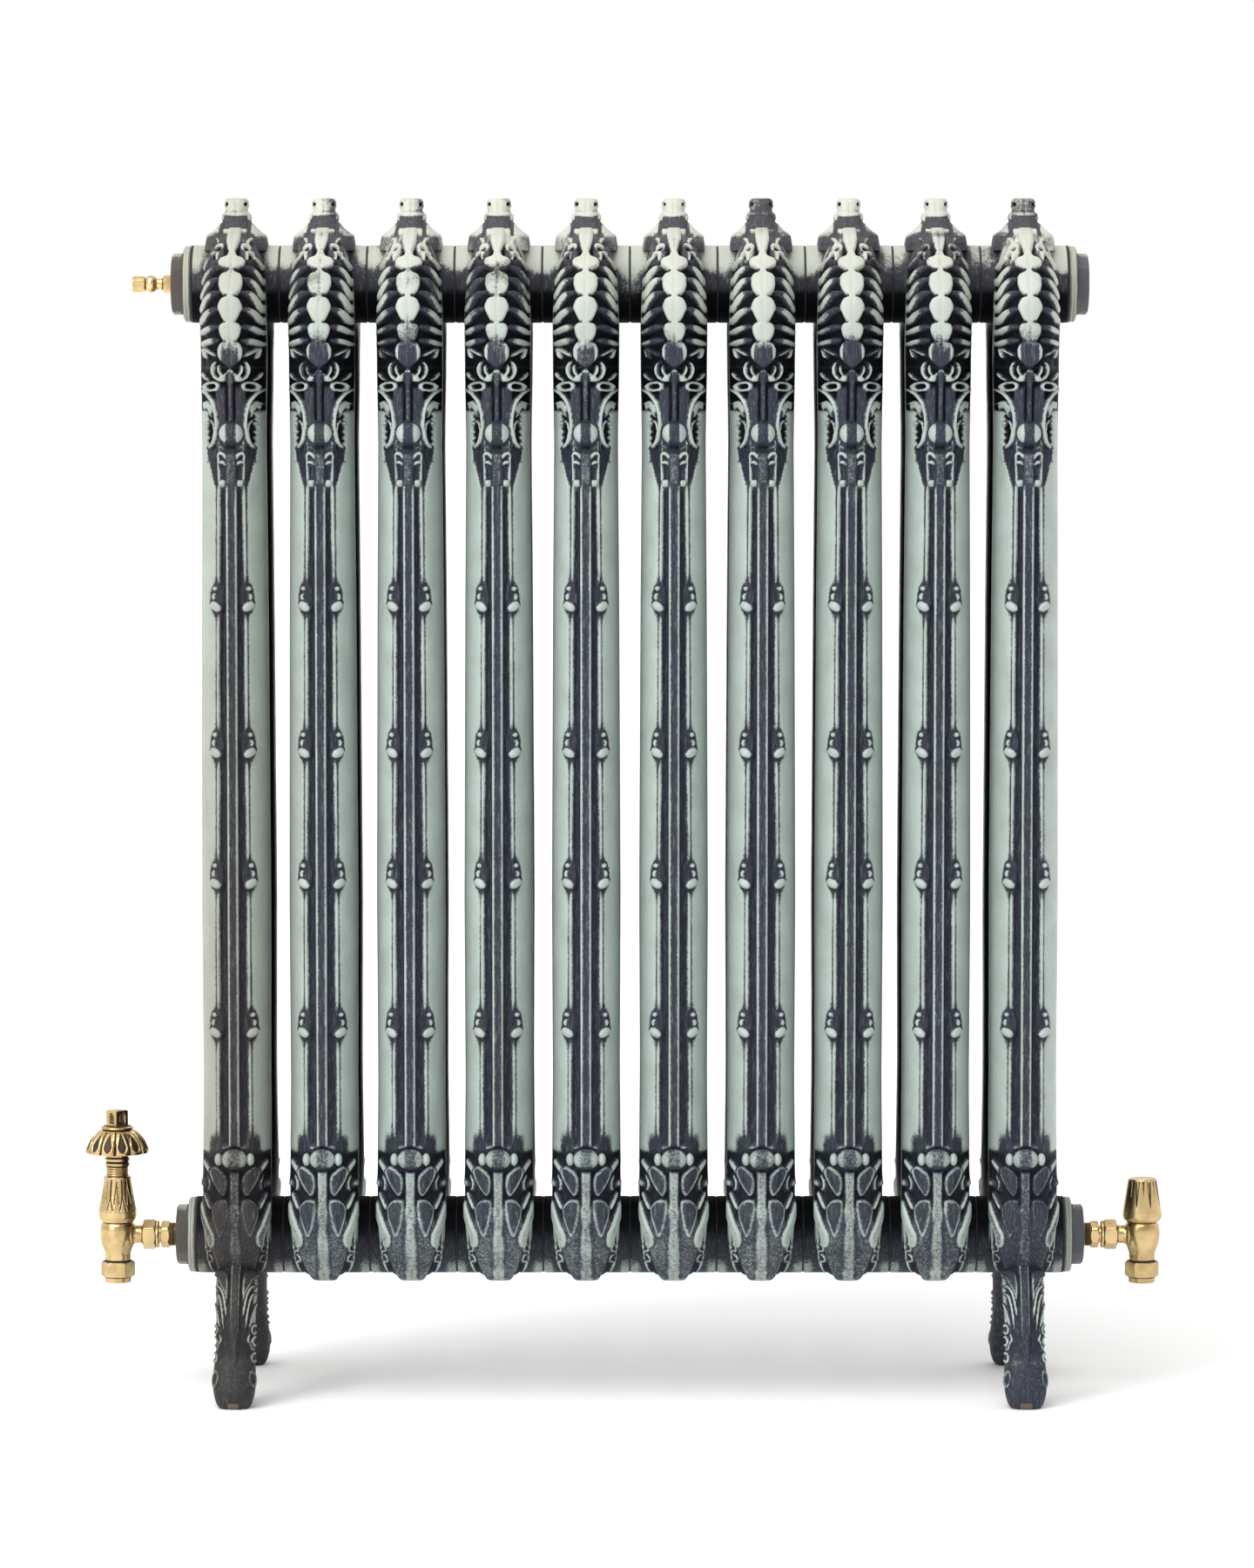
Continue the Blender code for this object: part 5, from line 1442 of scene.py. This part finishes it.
# ================================================================ kept CAD nodes, stage, camera
def finish_kept_nodes(finishes):
    """Gives each CAD node that is still shown the finish of its kind."""
    replaced = set()
    for piece in bpy.data.objects:
        replaced.update(piece.get("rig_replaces", []))
    kinds = (
        ("nipple", "steel", "bare_steel"),
        ("_pin", "steel", "bare_steel"),
        ("sensor", "shell", "sensor_shell"),
        ("olive", "brass", "antique_brass"),
        ("spindle", "brass", "antique_brass"),
        ("cone", "brass", "antique_brass"),
    )
    for name, node in frame["nodes"].items():
        matches = [kind for kind in kinds if kind[0] in name]
        if name in replaced or not matches:
            continue
        _, finish, slot = matches[0]
        if not node.data.materials:
            node.data.materials.append(finishes[finish])
        for index in range(len(node.data.materials)):
            node.data.materials[index] = finishes[finish]


def add_floor():
    paint = Paint("pale_floor")
    place = paint.place()
    cloud = paint.noise(place, 1.3, 3.0)
    colour = paint.blend(cloud, (0.925, 0.922, 0.918), (0.955, 0.954, 0.95))
    paint.set(Base_Color=colour, Roughness=paint.maths("MULTIPLY_ADD", cloud, 0.1, 0.6))
    corners = [(x * FLOOR_HALF, y * FLOOR_HALF, 0.0) for x, y in ((-1, -1), (1, -1), (1, 1), (-1, 1))]
    mesh = bpy.data.meshes.new("floor")
    mesh.from_pydata(corners, [], [(0, 1, 2, 3)])
    mesh.materials.append(paint.material)
    floor = bpy.data.objects.new("floor", mesh)
    floor.location.z = FLOOR_HEIGHT
    bpy.context.scene.collection.objects.link(floor)


def add_lamp(name, kind, place, aim, power, **settings):
    lamp = bpy.data.lights.new(name, kind)
    lamp.energy = power
    for key, value in settings.items():
        setattr(lamp, key, value)
    holder = bpy.data.objects.new(name, lamp)
    bpy.context.scene.collection.objects.link(holder)
    holder.location = place
    holder.rotation_euler = (Vector(place) - Vector(aim)).to_track_quat("Z", "Y").to_euler()


def add_world():
    """White all round the horizon, behind the radiator and straight overhead; dimmer in front of it, above
    and below the horizon.
    """
    world = bpy.data.worlds.new("white_studio")
    world.use_nodes = True
    sky = NodeMaker(world.node_tree)
    background = world.node_tree.nodes["Background"]
    _, depth, height = sky.split(sky.node("TexCoord").outputs["Generated"])
    behind = sky.step(sky.maths("MULTIPLY_ADD", height, 0.6, depth), -0.30, 0.55, DIM_SKY, WHITE_SKY)
    horizon = sky.step(sky.maths("ABSOLUTE", height), 0.34, 0.20, 0.0, WHITE_SKY)
    sky.plug(background.inputs["Strength"], sky.maths("MAXIMUM", behind, horizon))
    background.inputs["Color"].default_value = (1.0, 0.998, 0.993, 1.0)
    bpy.context.scene.world = world


def add_studio():
    add_world()
    add_lamp("window", "SUN", SUN_PLACE, (0.0, 0.0, 0.0), SUN_POWER, angle=math.radians(50.0))
    add_lamp("key", "AREA", KEY_PLACE, (0.0, 0.0, 0.5), KEY_POWER, shape="RECTANGLE", size=1.7, size_y=2.1,
             color=(1.0, 0.99, 0.97))
    bpy.context.scene.view_settings.view_transform = "Standard"


def add_camera():
    lens = bpy.data.cameras.new("camera")
    lens.lens = LENS_LENGTH_MM
    lens.sensor_width = 36.0
    lens.clip_end = 200.0
    camera = bpy.data.objects.new("camera", lens)
    bpy.context.scene.collection.objects.link(camera)
    camera.location = CAMERA_PLACE
    camera.rotation_euler = (math.radians(90.0 - CAMERA_DIP), 0.0, 0.0)
    bpy.context.scene.camera = camera


def build():
    iron = painted_iron()
    fitting = fitting_iron()
    brass = antique_brass("antique_brass_finish", 0.95)
    vent_brass = antique_brass("bright_brass_finish", 1.08)
    rubber = plain_finish("black_fibre", (0.030, 0.029, 0.028), (0.012, 0.012, 0.012), 0.75, 0.0, 500.0)
    finishes = {
        "brass": brass,
        "steel": plain_finish("machined_steel", (0.52, 0.52, 0.53), (0.36, 0.36, 0.37), 0.42, 1.0),
        "shell": plain_finish("moulded_shell", (0.74, 0.71, 0.65), (0.60, 0.57, 0.51), 0.55, 0.0),
    }
    plain = section_mesh("column_casting", False)
    legged = section_mesh("column_casting_with_legs", True)
    for number in range(1, SECTION_COUNT + 1):
        mesh = legged if number in (1, SECTION_COUNT) else plain
        place = at(FIRST_SECTION_X + (number - 1) * SECTION_PITCH, 0.0, 0.0)
        node = f"section_{number:02d}"
        add_piece(f"casting_{number:02d}", mesh, iron, "radiator", (node,), place)
    add_section_gaskets(rubber)
    add_bushings(fitting, rubber)
    add_air_vent(vent_brass)
    add_valves(brass, rubber)
    finish_kept_nodes(finishes)
    add_floor()
    add_studio()
    add_camera()


build()
